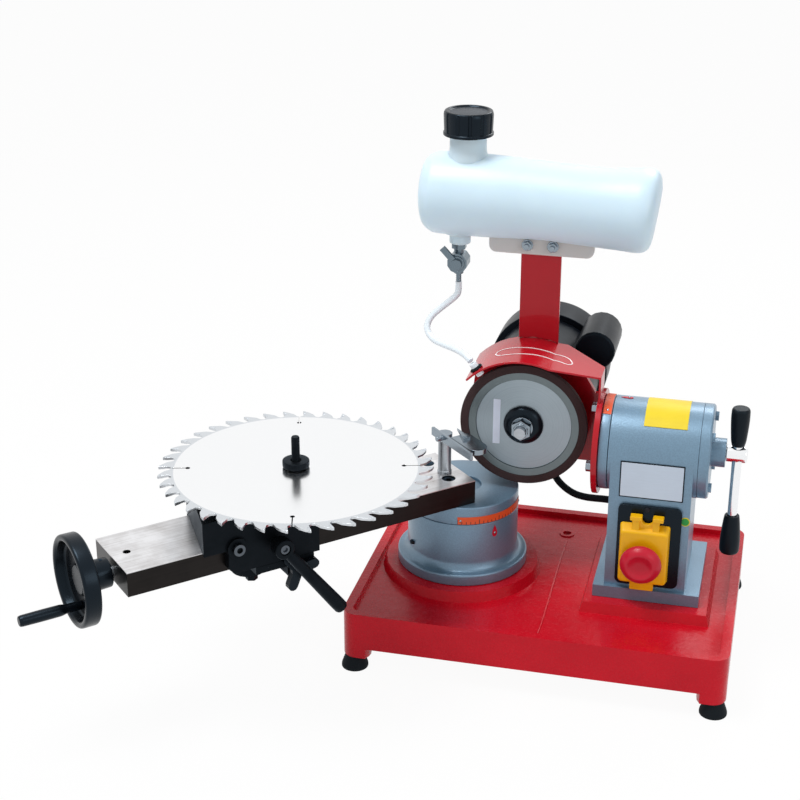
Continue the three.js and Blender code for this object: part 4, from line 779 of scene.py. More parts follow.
@dataclass(frozen=True)
class Grit(Finish):
    """Bonded abrasive: dark brown resin full of fine grains."""

    def dress(self, tree: Tree, colour: Point) -> None:
        """Wires grains as fine cells over a slow drift."""
        place = tree.where()
        grains = tree.cells(place, 2600.0, 0.2)
        value = tree.sum(tree.span(grains, 0.0, 0.7, (0.0, 0.8)), tree.span(tree.noise(place, 60.0, 3.0), 0.0, 0.3))
        tree.base(tree.tone(value, colour, 0.7, 1.7, (0.25, 0.8)))
        tree.bump(grains, 0.5, 0.2)
        tree.set(Roughness=0.86)


@dataclass(frozen=True)
class BlackMetal(Finish):
    """Satin black steel or paint, with slight handling wear."""

    roughness: float = 0.4
    metallic: float = 0.5
    grain: float = 240.0
    depth: float = 0.12

    def dress(self, tree: Tree, colour: Point) -> None:
        """Wires a fine skin, a drift in gloss and a blue painted sky reflection in the gloss."""
        place = tree.where()
        drift = tree.noise(place, 35.0, 4.0, 0.65)
        tree.base(tree.tone(drift, colour, 0.7, 1.8, (0.35, 0.72)))
        tree.rough(drift, self.roughness - 0.08, self.roughness + 0.12)
        tree.bump(tree.noise(place, self.grain, 3.0), 0.3, self.depth)
        # painted reflection: the blue tint in the gloss stands for a sky mirrored in the black
        tree.set(Metallic=self.metallic, Specular_IOR_Level=0.12, Specular_Tint=SKY_REFLECTION_TINT)


@dataclass(frozen=True)
class Moulded(Finish):
    """Moulded plastic with a fine skin and a soft gloss."""

    roughness: float = 0.3
    grain: float = 700.0
    depth: float = 0.06
    coat: float = 0.0
    dark: float = 0.02

    def dress(self, tree: Tree, colour: Point) -> None:
        """Wires the skin and a slow change in gloss, with a blue painted sky reflection in the gloss of a dark
        colour.
        """
        place = tree.where()
        self.vary(tree, colour, 30.0, 0.07)
        tree.bump(tree.noise(place, self.grain, 2.0), 0.25, self.depth)
        tree.rough(tree.noise(place, 45.0, 3.0), self.roughness - 0.05, self.roughness + 0.08)
        tree.set(Coat_Weight=self.coat, Coat_Roughness=0.1, Specular_IOR_Level=0.26)
        if max(colour) < self.dark:
            # painted reflection: a dark colour's gloss is tinted blue as if it mirrored a sky
            tree.set(Specular_IOR_Level=0.24, Specular_Tint=SKY_REFLECTION_TINT)


@dataclass(frozen=True)
class Plated(Finish):
    """Bright plating: chrome, zinc or nickel."""

    roughness: float = 0.12

    def dress(self, tree: Tree, colour: Point) -> None:
        """Wires a faint waviness and polishing haze."""
        place = tree.where()
        tree.rough(tree.noise(place, 90.0, 3.0), self.roughness * 0.7, self.roughness * 1.5)
        tree.bump(tree.noise(place, 160.0, 2.0), 0.06, 0.08)
        tree.set(Metallic=1.0)


@dataclass(frozen=True)
class MilkyTank(Finish):
    """Translucent white polyethylene that glows softly and has a waxy gloss."""

    def dress(self, tree: Tree, colour: Point) -> None:
        """Wires scattering, a little see-through and a mould's faint ripple."""
        place = tree.where()
        self.vary(tree, colour, 11.0, 0.03)
        tree.bump(tree.noise(place, 55.0, 3.0), 0.12, 0.4)
        tree.rough(tree.noise(place, 25.0), 0.3, 0.42)
        tree.set(Subsurface_Weight=0.3, Subsurface_Radius=(0.02, 0.024, 0.03), Subsurface_Scale=0.6)
        tree.set(Transmission_Weight=0.08, IOR=1.5)


@dataclass(frozen=True)
class PaleTube(Finish):
    """Flexible vinyl, milky enough to read as a pale gloss."""

    def dress(self, tree: Tree, colour: Point) -> None:
        """Wires a slight change in gloss under a coat."""
        tree.rough(tree.noise(tree.where(), 60.0), 0.12, 0.2)
        tree.set(Coat_Weight=0.3, Coat_Roughness=0.08)


@dataclass(frozen=True)
class ScaleStrip(Finish):
    """Printed orange strip with dark division marks, long at every fifth."""

    marks: int = 20
    ink: Point = (0.05, 0.02, 0.015)

    def dress(self, tree: Tree, colour: Point) -> None:
        """Wires marks from the strip's own u, with their height from its v."""
        split = tree.add("ShaderNodeSeparateXYZ")
        tree.link(tree.add("ShaderNodeTexCoord").outputs["UV"], split.inputs[0])
        masks = []
        for count, width, reach in ((self.marks, 0.16, 0.36), (self.marks / 5, 0.035, 0.62)):
            part = tree.calc("PINGPONG", tree.calc("MULTIPLY", split.outputs["X"], count), 0.5)
            line = tree.calc("LESS_THAN", part, width / 2)
            masks.append(tree.calc("MULTIPLY", line, tree.calc("LESS_THAN", split.outputs["Y"], reach)))
        tree.base(tree.ramp(tree.calc("MAXIMUM", *masks), [(0.4, colour), (0.6, self.ink)]))
        tree.rough(tree.noise(tree.where(), 80.0), 0.35, 0.5)


@dataclass(frozen=True)
class Palette:
    """Every finish on the machine."""

    tray: Finish = CastPaint("tray_enamel", 0xC40F22)
    sheet: Finish = SheetPaint("sheet_enamel", 0xB00F1E)
    grey: Finish = HammeredPaint("hammered_grey", 0x6C899F)
    rail: Finish = RailSteel("rail_steel", 0x211E1D, roughness=0.27)
    ground: Finish = GroundSteel("ground_steel", 0xA9AFB5)
    black: Finish = BlackMetal("black_steel", 0x0E1013, metallic=0.2)
    socket: Finish = BlackMetal("screw_black", 0x242428, roughness=0.3, metallic=0.8)
    motor: Finish = BlackMetal("motor_black", 0x0B0E13, roughness=0.3, metallic=0.0, depth=0.2)
    moulded: Finish = Moulded("black_moulding", 0x0A0D12, roughness=0.26)
    grip: Finish = Moulded("grip_black", 0x090A0C, roughness=0.42, grain=420.0, depth=0.12)
    rubber: Finish = Moulded("foot_rubber", 0x101010, roughness=0.72, grain=300.0, depth=0.2)
    chrome: Finish = Plated("chrome", 0xB4BFCA, roughness=0.1)
    zinc: Finish = Plated("zinc_plate", 0x8F9AA3, roughness=0.2)
    grit: Finish = Grit("brown_grit", 0x2B1A1B)
    wheel_ring: Finish = GroundSteel("wheel_ring", 0x6C7679, stain=0.1, lines=(300.0, 300.0, 300.0))
    tank: Finish = MilkyTank("milky_tank", 0xD4EAF8)
    web: Finish = MilkyTank("milky_web", 0xCBC8C6)
    tap: Finish = Plated("tap_metal", 0x6F7C85, roughness=0.24)
    cap_disc: Finish = Moulded("cap_disc", 0x202831, roughness=0.34)
    tube: Finish = PaleTube("clear_tube", 0xE2EBF2)
    yellow: Finish = Moulded("yellow_moulding", 0xF0B408, roughness=0.34, coat=0.12)
    red: Finish = Moulded("red_moulding", 0xBE1830, roughness=0.32, coat=0.05)
    green: Finish = Moulded("green_moulding", 0x2F9C46, roughness=0.35)
    label: Finish = Moulded("plain_label", 0xD9E4F5, roughness=0.4)
    plate: Finish = GroundSteel("plate_aluminium", 0xBCC8D6, roughness=0.42, stain=0.06, lines=(60.0, 60.0, 900.0))
    sticker: Finish = Moulded("plain_yellow_label", 0xE6CC2B, roughness=0.38)
    strip: Finish = ScaleStrip("orange_scale", 0xE2541C)
    bronze: Finish = GroundSteel("bronze", 0x9A7440)
    white: Finish = Moulded("white_line", 0xF2E9EA, roughness=0.35)
    tip: Finish = GroundSteel("carbide_tip", 0xCDD2D7)
    screw: Finish = Plated("screw_steel", 0x5A6067, roughness=0.3)


PAINT = Palette()


def piece(
    name: str, surface: Surface, finish: Finish, body: str | None, place: Place = WORLD,
    replaces: tuple[str, ...] = (), bevel: float = 0.0,
) -> bpy.types.Object:
    """Turns a skin into a finished piece of the machine.

    Args:
        name: the piece's name.
        surface: its skin in millimetres.
        finish: what it is painted or made with.
        body: the moving body that it rides on, or None, which leaves it on no body.
        place: the local frame that the skin is drawn in.
        replaces: the CAD nodes that it stands for.
        bevel: the edge rounding in millimetres.

    Returns:
        The new object.
    """
    mesh = bpy.data.meshes.new(name)
    mesh.from_pydata(place.put(surface.points).tolist(), [], surface.faces)
    if surface.uv is not None:
        layer = mesh.uv_layers.new(name="flat")
        corners = np.zeros(len(mesh.loops), np.int32)
        mesh.loops.foreach_get("vertex_index", corners)
        layer.data.foreach_set("uv", surface.uv[corners].astype(np.float32).ravel())
    work = bmesh.new()
    work.from_mesh(mesh)
    bmesh.ops.remove_doubles(work, verts=work.verts, dist=1e-6)
    bmesh.ops.dissolve_degenerate(work, edges=work.edges, dist=1e-7)
    bmesh.ops.recalc_face_normals(work, faces=work.faces)
    work.to_mesh(mesh)
    work.free()
    return dressed(name, mesh, finish, body, replaces, bevel, 35.0)


def lathe(
    name: str, profile: list[tuple[float, ...]], axis: Axis, centre: Point, sides: int, finish: Finish, body: str,
    place: Place = WORLD, replaces: tuple[str, ...] = (), steps: int = 4,
) -> bpy.types.Object:
    """A turned piece: a profile with rounded corners carried round an axis.

    Args:
        name: the piece's name.
        profile: radius and place of each corner, with an optional rounding length.
        axis: the axis of the turn.
        centre: a point on the axis.
        sides: points round each ring.
        finish: its finish.
        body: the body that it rides on.
        place: the local frame that it is drawn in.
        replaces: the CAD nodes that it stands for.
        steps: segments in each rounded corner.

    Returns:
        The new object.
    """
    skin = turned(rounded(profile, steps), axis, centre, sides)
    return piece(name, skin, finish, body, place, replaces)


def dressed(
    name: str, mesh: bpy.types.Mesh, finish: Finish, body: str | None, replaces: tuple[str, ...],
    bevel: float, corner: float,
) -> bpy.types.Object:
    """Makes an object of a mesh, with its finish, smooth shading and body.

    Args:
        name: the piece's name.
        mesh: its mesh, in place.
        finish: its finish.
        body: the body that it rides on, or None, which leaves it on no body.
        replaces: the CAD nodes that it stands for.
        bevel: the edge rounding in millimetres.
        corner: the angle in degrees past which an edge is rounded, or stays sharp without rounding.

    Returns:
        The new object.
    """
    mesh.materials.clear()
    mesh.materials.append(finish.make())
    made = bpy.data.objects.new(name, mesh)
    bpy.context.scene.collection.objects.link(made)
    mesh.shade_smooth()
    if bevel > 0:
        edge = made.modifiers.new("edge", "BEVEL")
        edge.width = bevel * MM
        edge.segments = 3
        edge.limit_method = "ANGLE"
        edge.angle_limit = math.radians(corner)
        edge.use_clamp_overlap = True
        weighted = made.modifiers.new("normals", "WEIGHTED_NORMAL")
        weighted.keep_sharp = True
        weighted.weight = 80
    else:
        mesh.set_sharp_from_angle(angle=math.radians(corner))
    if body is not None:
        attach(made, body)
    if replaces:
        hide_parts(*replaces)
    log.info("%s: %d faces on %s", name, len(mesh.polygons), body)
    return made


def eased(node: str, finish: Finish, bevel: float, name: str, corner: float = 40.0) -> bpy.types.Object:
    """A machined or cast piece with its edges eased: the node's own shape, merged and bevelled.

    Args:
        node: the CAD node whose shape it keeps.
        finish: its finish.
        bevel: the edge rounding in millimetres.
        name: the piece's name.
        corner: the angle in degrees past which an edge is rounded.

    Returns:
        The new object.
    """
    source = frame["nodes"][node]
    mesh = source.data.copy()
    work = bmesh.new()
    work.from_mesh(mesh)
    bmesh.ops.remove_doubles(work, verts=work.verts, dist=2e-6)
    bmesh.ops.dissolve_limit(work, angle_limit=math.radians(0.6), verts=work.verts, edges=work.edges)
    work.to_mesh(mesh)
    work.free()
    if mesh.has_custom_normals:
        mesh.attributes.remove(mesh.attributes["custom_normal"])
    return dressed(name, mesh, finish, source["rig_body"], (node,), bevel, corner)


def coat(finish: Finish, *nodes: str) -> None:
    """Gives CAD nodes that stay in view their finish."""
    for node in nodes:
        mesh = frame["nodes"][node].data
        mesh.materials.clear()
        mesh.materials.append(finish.make())
        mesh.shade_smooth()
        mesh.set_sharp_from_angle(angle=math.radians(35))


def measured(path: np.ndarray) -> tuple[np.ndarray, float]:
    """A path's points in metres, and its length."""
    metres = WORLD.put(path)
    return metres, float(np.linalg.norm(np.diff(metres, axis=0), axis=1).sum())


def hexagon_head(axis: Axis, centre: Point, radius: float, run: tuple[float, float]) -> Surface:
    """A bolt head: a six-sided prism of a radius to its corners along an axis between two places."""
    one, two = axis.others
    return pushed(circle(radius, (centre[one], centre[two]), 6, 15), axis, *run)


def thread(run: tuple[float, float], step: float, radius: float, depth: float, pitch: float) -> np.ndarray:
    """A profile along a run whose radius waves by a depth to either side once in each pitch."""
    place = np.arange(*run, step)
    return np.stack([radius + depth * np.cos(2 * np.pi * place / pitch), place], axis=-1)


@dataclass
class Tray:
    """The cast tray base and its rubber feet."""

    foot_x: float = 172.5
    foot_y: float = 122.5
    foot_top: float = 14.7

    def build(self) -> None:
        """Makes the casting, its cast line and the four feet."""
        eased("base_casting", PAINT.tray, 1.8, "tray_casting", 30.0)
        top = self.foot_top
        foot = [(0, 0), (13, 0, 0.8), (13, 3, 1.4), (9.2, top - 1, 1), (9, top), (0, top)]
        for end, y in (("front", -self.foot_y), ("back", self.foot_y)):
            for side, x in (("left", -self.foot_x), ("right", self.foot_x)):
                node = f"foot_{end}_{side}"
                lathe(f"{node}_rubber", foot, Axis.Z, (x, y, 0), 40, PAINT.rubber, "base", WORLD, (node,))
        self.cast_line()

    def cast_line(self) -> None:
        """A low ridge that the mould left across the tray's floor, from the drain to the front."""
        path = smooth_path([(4, 72, 57.4), (4, 10, 57.5), (5, -60, 57.5), (5, -118, 57.4)], 40)
        piece("tray_cast_line", swept(path, 1.1, 10), PAINT.tray, "base")


@dataclass
class Turntable:
    """The column, the ring that turns on it, its scale and its marks."""

    radius: float = 55.0
    strip: tuple[float, float] = (130.6, 138.2)
    arc: tuple[float, float] = (-84.0, 6.0)
    proud: float = 0.5
    mark: float = -44.0

    def build(self) -> None:
        """Makes the column, the ring, the lock screw and the marks."""
        column = [(0, 67.8), (65, 67.8, 1), (65, 79.3, 2.2), (60.5, 79.3, 2.0), (57.5, 80.6, 2.5), (55, 86, 5),
                  (55, 129.6, 0.8), (17.7, 129.6, 0.5), (17.7, 145.6, 0.5), (0, 145.6)]
        lathe("column_turned", column, Axis.Z, (0, 0, 0), 112, PAINT.grey, "base", DRUM, ("turntable_column",))
        ring = [(18, 135), (18, 129.9, 0.5), (55, 129.9, 0.7), (55, 148.1, 1.6), (18, 148.1, 0.6), (18, 135)]
        lathe("ring_turned", ring, Axis.Z, (0, 0, 0), 112, PAINT.grey, "rail", DRUM, ("turntable_ring",))
        self.marks()
        angle = math.radians(-142)
        place = (self.radius * math.cos(angle), self.radius * math.sin(angle), 93.0)
        lathe("column_lock_screw", [(0, 0), (3.2, 0, 0.4), (3.2, 3, 0.6), (0, 3)], Axis.Z, place, 24, PAINT.socket,
              "base", DRUM)

    def marks(self) -> None:
        """The orange scale and the red drop that it is read against, with their rivets."""
        scale = bent_plate(Axis.Z, self.radius, self.strip, self.arc, self.proud, 60)
        piece("turntable_scale", scale, PAINT.strip, "rail", DRUM)
        middle = sum(self.strip) / 2
        self.rivet("scale_rivet_left", self.arc[0] + 3, middle, self.proud, "rail")
        self.rivet("scale_rivet_right", self.arc[1] - 3, middle, self.proud, "rail")
        drop = drop_mark(Axis.Z, self.radius, self.mark, 119.5, 3.7, 6.2)
        piece("turntable_pointer", drop, PAINT.red, "base", DRUM)
        self.rivet("pointer_rivet", self.mark, 117.6, 0.4, "base")

    def rivet(self, name: str, angle: float, height: float, out: float, body: str) -> None:
        """A small zinc rivet head that stands out from the drum's wall."""
        dome = rivet_head(Axis.Z, self.radius + out, angle, height, (0.35, 0.7, 0.85, 0.9))
        piece(f"turntable_{name}", dome, PAINT.zinc, body, DRUM)


@dataclass
class RailAssembly:
    """The rail, its screw, the handwheel and the tooth stop's post."""

    screw_height: float = 157.0
    throw: float = 25.5
    grip_end: float = -460.85

    def build(self) -> None:
        """Makes each piece on the rail."""
        eased("rail_bar", PAINT.rail, 0.5, "rail_ground")
        eased("rail_screw", PAINT.socket, 0.4, "rail_socket_screw")
        cap = [(0, 172.05), (6.4, 172.05, 0.1), (6.4, 172.2, 0.1), (0, 172.2)]
        lathe("rail_far_screw_cap", cap, Axis.Z, (-33.0, RAIL_OFFSET + 19.5, 0), 32, PAINT.socket, "rail", RAIL)
        self.screw()
        self.handwheel()
        self.crank()
        post = [(0, 172.4), (7, 172.4, 0.4), (7, 175, 0.5), (6.4, 175.6, 0.4), (6.4, 207, 0.5), (7, 208, 0.5),
                (7, 210, 0.5), (0, 210)]
        lathe("stop_post_turned", post, Axis.Z, (-29.0, RAIL_OFFSET - 5.5, 0), 48, PAINT.ground, "rail", RAIL,
              ("stop_post",))
        eased("stop_arm", PAINT.zinc, 0.5, "stop_arm_ground")
        eased("stop_finger", PAINT.zinc, 0.6, "stop_finger_ground")

    def screw(self) -> None:
        """The lead screw: a shaft whose radius waves along its length as rings of thread."""
        ends = [(0, -397), (4.6, -397), (5, -396.4), (5, -373.6), (6, -373.2), (6, -354.8), (5, -354)]
        profile = np.vstack([ends, thread((-353.0, -38.5), 0.62, 4.72, 0.28, 2.48), [(4.4, -37.2), (0, -37.0)]])
        shape = turned(profile, Axis.X, (0, RAIL_OFFSET, self.screw_height), 24)
        piece("lead_screw_threaded", shape, PAINT.ground, "lead_screw", RAIL, ("lead_screw",))

    def handwheel(self) -> None:
        """The dished handwheel: a hub with a grub screw, a thin web and a round-edged rim."""
        wheel = [(0, -397.3), (5.2, -397.3, 0.2), (5.2, -376.3, 0.3), (13.5, -376.3, 1.2), (14.2, -390, 2),
                 (16, -398.6, 2.5), (35.4, -398.9, 1.5), (37.4, -397.9, 1.2), (42.4, -397.8, 3), (42.5, -413, 3.4),
                 (36.8, -413, 2.6), (35, -404.2, 3), (33.5, -402.8, 1.5), (17, -402.8, 2), (14.4, -403.2, 1),
                 (13.4, -405.3, 1.2), (0, -405.3)]
        lathe("handwheel_moulding", wheel, Axis.X, (0, RAIL_OFFSET, self.screw_height), 96, PAINT.moulded,
              "lead_screw", RAIL, ("handwheel",), 6)
        lathe("handwheel_grub_screw", [(0, 0), (2.2, 0, 0.2), (2.2, 0.5, 0.2), (0, 0.5)], Axis.Z,
              (-383.5, RAIL_OFFSET, self.screw_height + 13.4), 20, PAINT.socket, "lead_screw", RAIL)

    def crank(self) -> None:
        """The grip that spins on the handwheel's pin."""
        end = self.grip_end
        grip = [(0, -398.1), (3, -398.1), (3, -403.1, 0.2), (4.1, -403.1, 0.5), (4.2, -418, 2), (5.3, -422.5, 2.5),
                (5.4, -440, 5), (5.2, end + 2.4, 2), (4.6, end, 1.6), (0, end)]
        lathe("crank_grip_moulding", grip, Axis.X, (0, RAIL_OFFSET, self.screw_height - self.throw), 40,
              PAINT.moulded, "crank_grip", RAIL, ("crank_grip",), 5)


@dataclass
class Carriage:
    """The carriage that straddles the rail, with its clamp lever, knob and stud."""

    front: float = -50.9
    lever_line: Point = (-233.5, 0, 170)
    lever_reach: Point = (50.7, -16.0, -69.2)

    def build(self) -> None:
        """Makes each piece of the carriage."""
        eased("carriage_block", PAINT.black, 0.8, "carriage_casting")
        eased("carriage_keeper", PAINT.black, 0.8, "carriage_keeper_plate")
        coat(PAINT.bronze, "lead_nut")
        low = self.front - 3
        top = low - 4.15
        head = [(2.9, low), (5.7, low, 0.2), (5.7, top, 0.7), (2.9, top, 0.2), (2.9, low)]
        lathe("cheek_screw_head", head, Axis.Y, (-272, 0, 174), 36, PAINT.screw, "carriage", RAIL)
        self.lever()
        eased("star_knob", PAINT.moulded, 1.2, "star_knob_moulding", 28.0)
        seat = rounded([(0, 186), (6, 186), (6, 205.3), (30, 205.3, 0.5), (30, 211.7, 0.8), (7.7, 211.7, 0.2),
                        (7.7, 213.9, 0.3), (4, 213.9)])
        seat = np.vstack([seat, thread((214.2, 243.6), 0.25, 3.84, 0.15, 1.25), [(3.9, 243.8), (3.3, 245), (0, 245)]])
        shape = turned(seat, Axis.Z, (Blade.stud, RAIL_OFFSET, 0), 64)
        piece("blade_seat_turned", shape, PAINT.black, "carriage", RAIL, ("blade_seat",))

    def lever(self) -> None:
        """The clamp lever: a hub with a socket screw in it and a long tapered handle."""
        back, front = self.front - 8.3, self.front - 20.3
        hub = rounded([(0, back), (9.5, back, 1.0), (9.5, front, 1.6), (5.2, front, 0.4), (5.2, front + 3, 0.3),
                       (0, front + 3)])
        root = self.front + 8.5
        shank = np.array([(0, back - 0.2), (4, back - 0.2), (4, root), (0, root)])
        start = np.array([self.lever_line[0], (back + front) / 2, self.lever_line[2]])
        share = np.array([0.07, 0.12, 0.3, 0.6, 0.9, 0.975, 0.995])
        girth = np.array([4.4, 5.2, 5.6, 6.1, 6.6, 6.5, 5.6])
        handle = swept(start + np.array(self.lever_reach) * share[:, None], girth, 32)
        shape = turned(hub, Axis.Y, self.lever_line, 48).joined(turned(shank, Axis.Y, self.lever_line, 24), handle)
        piece("clamp_lever_handle", shape, PAINT.black, "clamp_lever", RAIL, ("clamp_lever",))
        head = [(0, front + 3), (4.6, front + 3), (4.6, front + 0.8, 0.5), (2.4, front + 0.8, 0.2),
                (2.4, front + 2.6), (0, front + 2.6)]
        lathe("clamp_lever_screw", head, Axis.Y, self.lever_line, 36, PAINT.screw, "clamp_lever", RAIL)


@dataclass
class Blade:
    """The mounted saw blade with its tips, and the nut that clamps it."""

    stud: float = -188.0
    low: float = 212.0
    high: float = 214.2
    radius: float = 127.5
    slots: tuple[float, float] = (96.0, 113.0)
    teeth: int = 40
    phase: float = -119.0
    flutes: int = 30

    def build(self) -> None:
        """Makes the plate, its tips and the nut."""
        centre = tuple(float(v) for v in RAIL.put(np.array([self.stud, RAIL_OFFSET, 0.0])))
        steel = BladeSteel("saw_plate", 0xF6F7F8, centre=centre)
        plate = eased("saw_blade", steel, 0.12, "saw_plate_ground", 50.0)
        self.shade_slot_walls(plate.data, np.array(centre[:2]))
        self.tips()
        self.nut()

    def shade_slot_walls(self, mesh: bpy.types.Mesh, stud: np.ndarray) -> None:
        """Paints the steel walls of the slots cut in from the rim with the black rubber finish, as painted shade in
        the narrow gaps.

        Args:
            mesh: the plate's mesh.
            stud: the stud's x and y in metres.
        """
        count = len(mesh.polygons)
        centres, normals = np.zeros(count * 3, np.float32), np.zeros(count * 3, np.float32)
        mesh.polygons.foreach_get("center", centres)
        mesh.polygons.foreach_get("normal", normals)
        far = np.linalg.norm(centres.reshape(-1, 3)[:, :2] - stud, axis=1)
        wall = np.abs(normals.reshape(-1, 3)[:, 2]) < 0.3
        inside = wall & (far > self.slots[0] * MM) & (far < self.slots[1] * MM)
        # painted shade: the steel slot walls take the black rubber finish so that the gaps read dark
        mesh.materials.append(PAINT.rubber.make())
        mesh.polygons.foreach_set("material_index", inside.astype(np.int32))

    def tips(self) -> None:
        """Hard tips brazed to the tooth faces: small blocks set round the blade."""
        r = self.radius
        corners = [(r - 0.2, 0.0), (r - 6.2, -0.9), (r - 6.4, -3.0), (r - 0.9, -2.6)]
        pitch = 2 * np.pi / self.teeth
        angles = math.radians(self.phase) - pitch * 0.15 + pitch * np.arange(self.teeth)
        run = (self.low - 0.35, self.high + 0.35)
        shape = ring_of_blocks(corners, angles, (self.stud, RAIL_OFFSET), run, Axis.Z)
        piece("saw_tips", shape, PAINT.tip, "blade", RAIL, bevel=0.15)

    def nut(self) -> None:
        """The knurled nut: a short round body whose wall is cut by fine flutes."""
        rings = rounded([(4.3, 214.5), (9, 214.5, 0.3), (9, 215.5, 0.3), (12.6, 215.5, 0.8), (12.6, 221.5, 0.8),
                         (5.2, 221.5, 0.5), (4.3, 219, 0.4), (4.3, 214.5)])
        skin = turned(rings, Axis.Z, (0, 0, 0), 120)
        x, y, _ = skin.points.T
        wave = 1 - 0.022 * (0.5 + 0.5 * np.cos(np.arctan2(y, x) * self.flutes))
        shape = skin.fluted(np.where(np.hypot(x, y) > 12.0, wave, 1.0), (self.stud, RAIL_OFFSET, 0))
        piece("clamp_nut_knurled", shape, PAINT.black, "clamp_nut", RAIL, ("clamp_nut",))


@dataclass
class Stand:
    """The stand casting, its round housing, plates, labels and switch."""

    tube: float = 45.7
    dot: tuple[float, float] = (130.0, 155.5)
    stop: Point = (92.5, 0, 116)

    def build(self) -> None:
        """Makes the casting, the cap and everything fixed on them."""
        eased("stand_housing", PAINT.grey, 1.2, "stand_casting", 32.0)
        eased("housing_end_cap", PAINT.grey, 0.9, "end_cap_casting")
        self.plates()
        self.marks()
        self.switch()
        eased("cable_gland", PAINT.moulded, 0.6, "cable_gland_moulding")

    def plates(self) -> None:
        """The blank nameplate with its border, the plain yellow label and the plain green dot."""
        border = self.on_front(rectangle((66.4, 126.6), (175.4, 212.4), 0.6), 0.5, 0.05)
        blank = self.on_front(rectangle((67.5, 125.5), (176.5, 211.3), 0.4), 0.75, 0.5)
        label = bent_plate(Axis.X, self.tube, (84.5, 125.0), (62, 133), 0.3, 28)
        for name, shape, finish, place, bevel in (
            ("nameplate_border", border, PAINT.moulded, WORLD, 0.0),
            ("nameplate_blank", blank, PAINT.plate, WORLD, 0.1),
            ("housing_label_blank", label, PAINT.sticker, HOUSING, 0.0),
            ("stand_dot_rim", self.on_front(circle(4.6, self.dot), 0.35, 0.05), PAINT.sticker, WORLD, 0.0),
            ("stand_dot", self.on_front(circle(3.7, self.dot), 0.5, 0.35), PAINT.green, WORLD, 0.0),
        ):
            piece(name, shape, finish, "base", place, bevel=bevel)

    def on_front(self, outline: np.ndarray, out: float, low: float) -> Surface:
        """A flat plate on the stand's front face, from low to out in front of it."""
        return pushed(outline, Axis.Y, -self.tube - out, -self.tube - low)

    def marks(self) -> None:
        """The tilt scale and its pointer, bent round the housing, with a rivet in each."""
        scale = bent_plate(Axis.X, self.tube, (44.9, 52.9), (66, 122), 0.45, 28)
        piece("tilt_scale", scale, PAINT.strip, "head", HOUSING)
        piece("tilt_pointer", drop_mark(Axis.X, self.tube, 85, 64.5, 3.4, -5.8), PAINT.red, "base", HOUSING)
        for name, x, angle, body in (("scale", 49.0, 116.0, "head"), ("pointer", 66.5, 85.0, "base")):
            rivet = rivet_head(Axis.X, self.tube + 0.4, angle, x, (0.3, 0.6, 0.75, 0.8))
            piece(f"tilt_{name}_rivet", rivet, PAINT.zinc, body, HOUSING)

    def switch(self) -> None:
        """The switch: a black plate, two buttons, the yellow flip cover and the red stop knob."""
        plate = pushed(rectangle((67, 127), (84, 169), 6), Axis.Y, -49.2, -45.9)
        room = pushed(rectangle((72, 122), (89, 164), 2), Axis.Y, -45.8, -25.3)
        piece("switch_plate", plate.joined(room), PAINT.moulded, "base", WORLD, ("switch_box",), 0.8)
        cap = [(0, -44), (5.2, -44), (5.2, -50.2, 0.8), (4.2, -50.7, 0.5), (0, -50.7)]
        lathe("start_button_cap", cap, Axis.Y, (92.5, 0, 139), 40, PAINT.green, "start_button", WORLD,
              ("start_button",))
        eased("off_button", PAINT.red, 0.5, "off_button_cap")
        self.cover()
        knob = [(0, -70.6), (6.5, -70.8, 3), (12.4, -74.5, 2.2), (15.6, -73.2, 2.4), (18.9, -69.4, 2.4),
                (19.9, -65.9, 0.8), (6.5, -65.7, 1), (6.5, -55, 0.3), (0, -55)]
        lathe("stop_knob_moulding", knob, Axis.Y, self.stop, 72, PAINT.red, "stop_knob", WORLD, ("stop_knob",),
              6)
        collar = [(7.3, -59.8), (14.5, -59.8, 0.3), (14.0, -61.4, 0.6), (8, -61.4, 0.6), (7.3, -59.8)]
        lathe("switch_cover_collar", collar, Axis.Y, self.stop, 56, PAINT.yellow, "switch_cover")
        lathe("switch_plate_screw", [(0, -50.6), (2.6, -50.6, 0.5), (2.6, -49.2, 0.1), (0, -49.2)], Axis.Y,
              (94.5, 0, 165.8), 20, PAINT.socket, "base")

    def cover(self) -> None:
        """The yellow flip cover: a drafted box with an open back, two hinge hooks and a thumb tab.

        Its rings are rounded rectangles. They run along the inside from the front to the rim and
        then along the outside back to the front, where the top slopes down.
        """
        rings = []
        for y, inset, drop, corner in ((-56.6, 4.4, 5.5, 1), (-50, 2.6, 1.5, 1.5), (-49.6, 2.3, 0, 1.5),
                                       (-49.6, 0, 0, 2.5), (-52, 0.2, 1.6, 3), (-57.6, 1.0, 5.2, 3.2),
                                       (-58.9, 1.5, 5.6, 3.2), (-59.5, 2.4, 5.6, 3), (-59.8, 3.6, 5.6, 2.6)):
            outline = rectangle((70.0 + inset, 117.3 - inset), (90.6 + inset, 151.2 - inset - 0.6 * drop), corner)
            rings.append(np.stack([outline[:, 0], np.full(len(outline), y), outline[:, 1]], axis=-1))
        blocks = []
        for bar, tongue in (((79.4, 90.6), (81.4, 88.4)), ((100.6, 110.8), (100.8, 107.2))):
            blocks.append(pushed(rectangle(bar, (157.2, 161.4), 1), Axis.Y, -58.2, -50.2))
            blocks.append(pushed(rectangle(tongue, (142, 158), 0.6), Axis.Y, -57.2, -50.6))
        notch = np.radians(np.linspace(0, -180, 19))
        arc = np.stack([95.6 + 5.1 * np.cos(notch), 157.6 + 5.1 * np.sin(notch)], axis=-1)
        web = np.vstack([[(88, 143), (103, 143), (103, 157.6)], arc, [(88, 157.6)]])
        blocks.append(pushed(web, Axis.Y, -54.4, -50.4))
        blocks.append(pushed(rectangle((82.4, 104.8), (83.3, 93.5), 1.2), Axis.Y, -57, -50.2))
        piece("switch_cover_moulding", lofted(rings).joined(*blocks), PAINT.yellow, "switch_cover", WORLD,
              ("switch_cover",), 0.5)


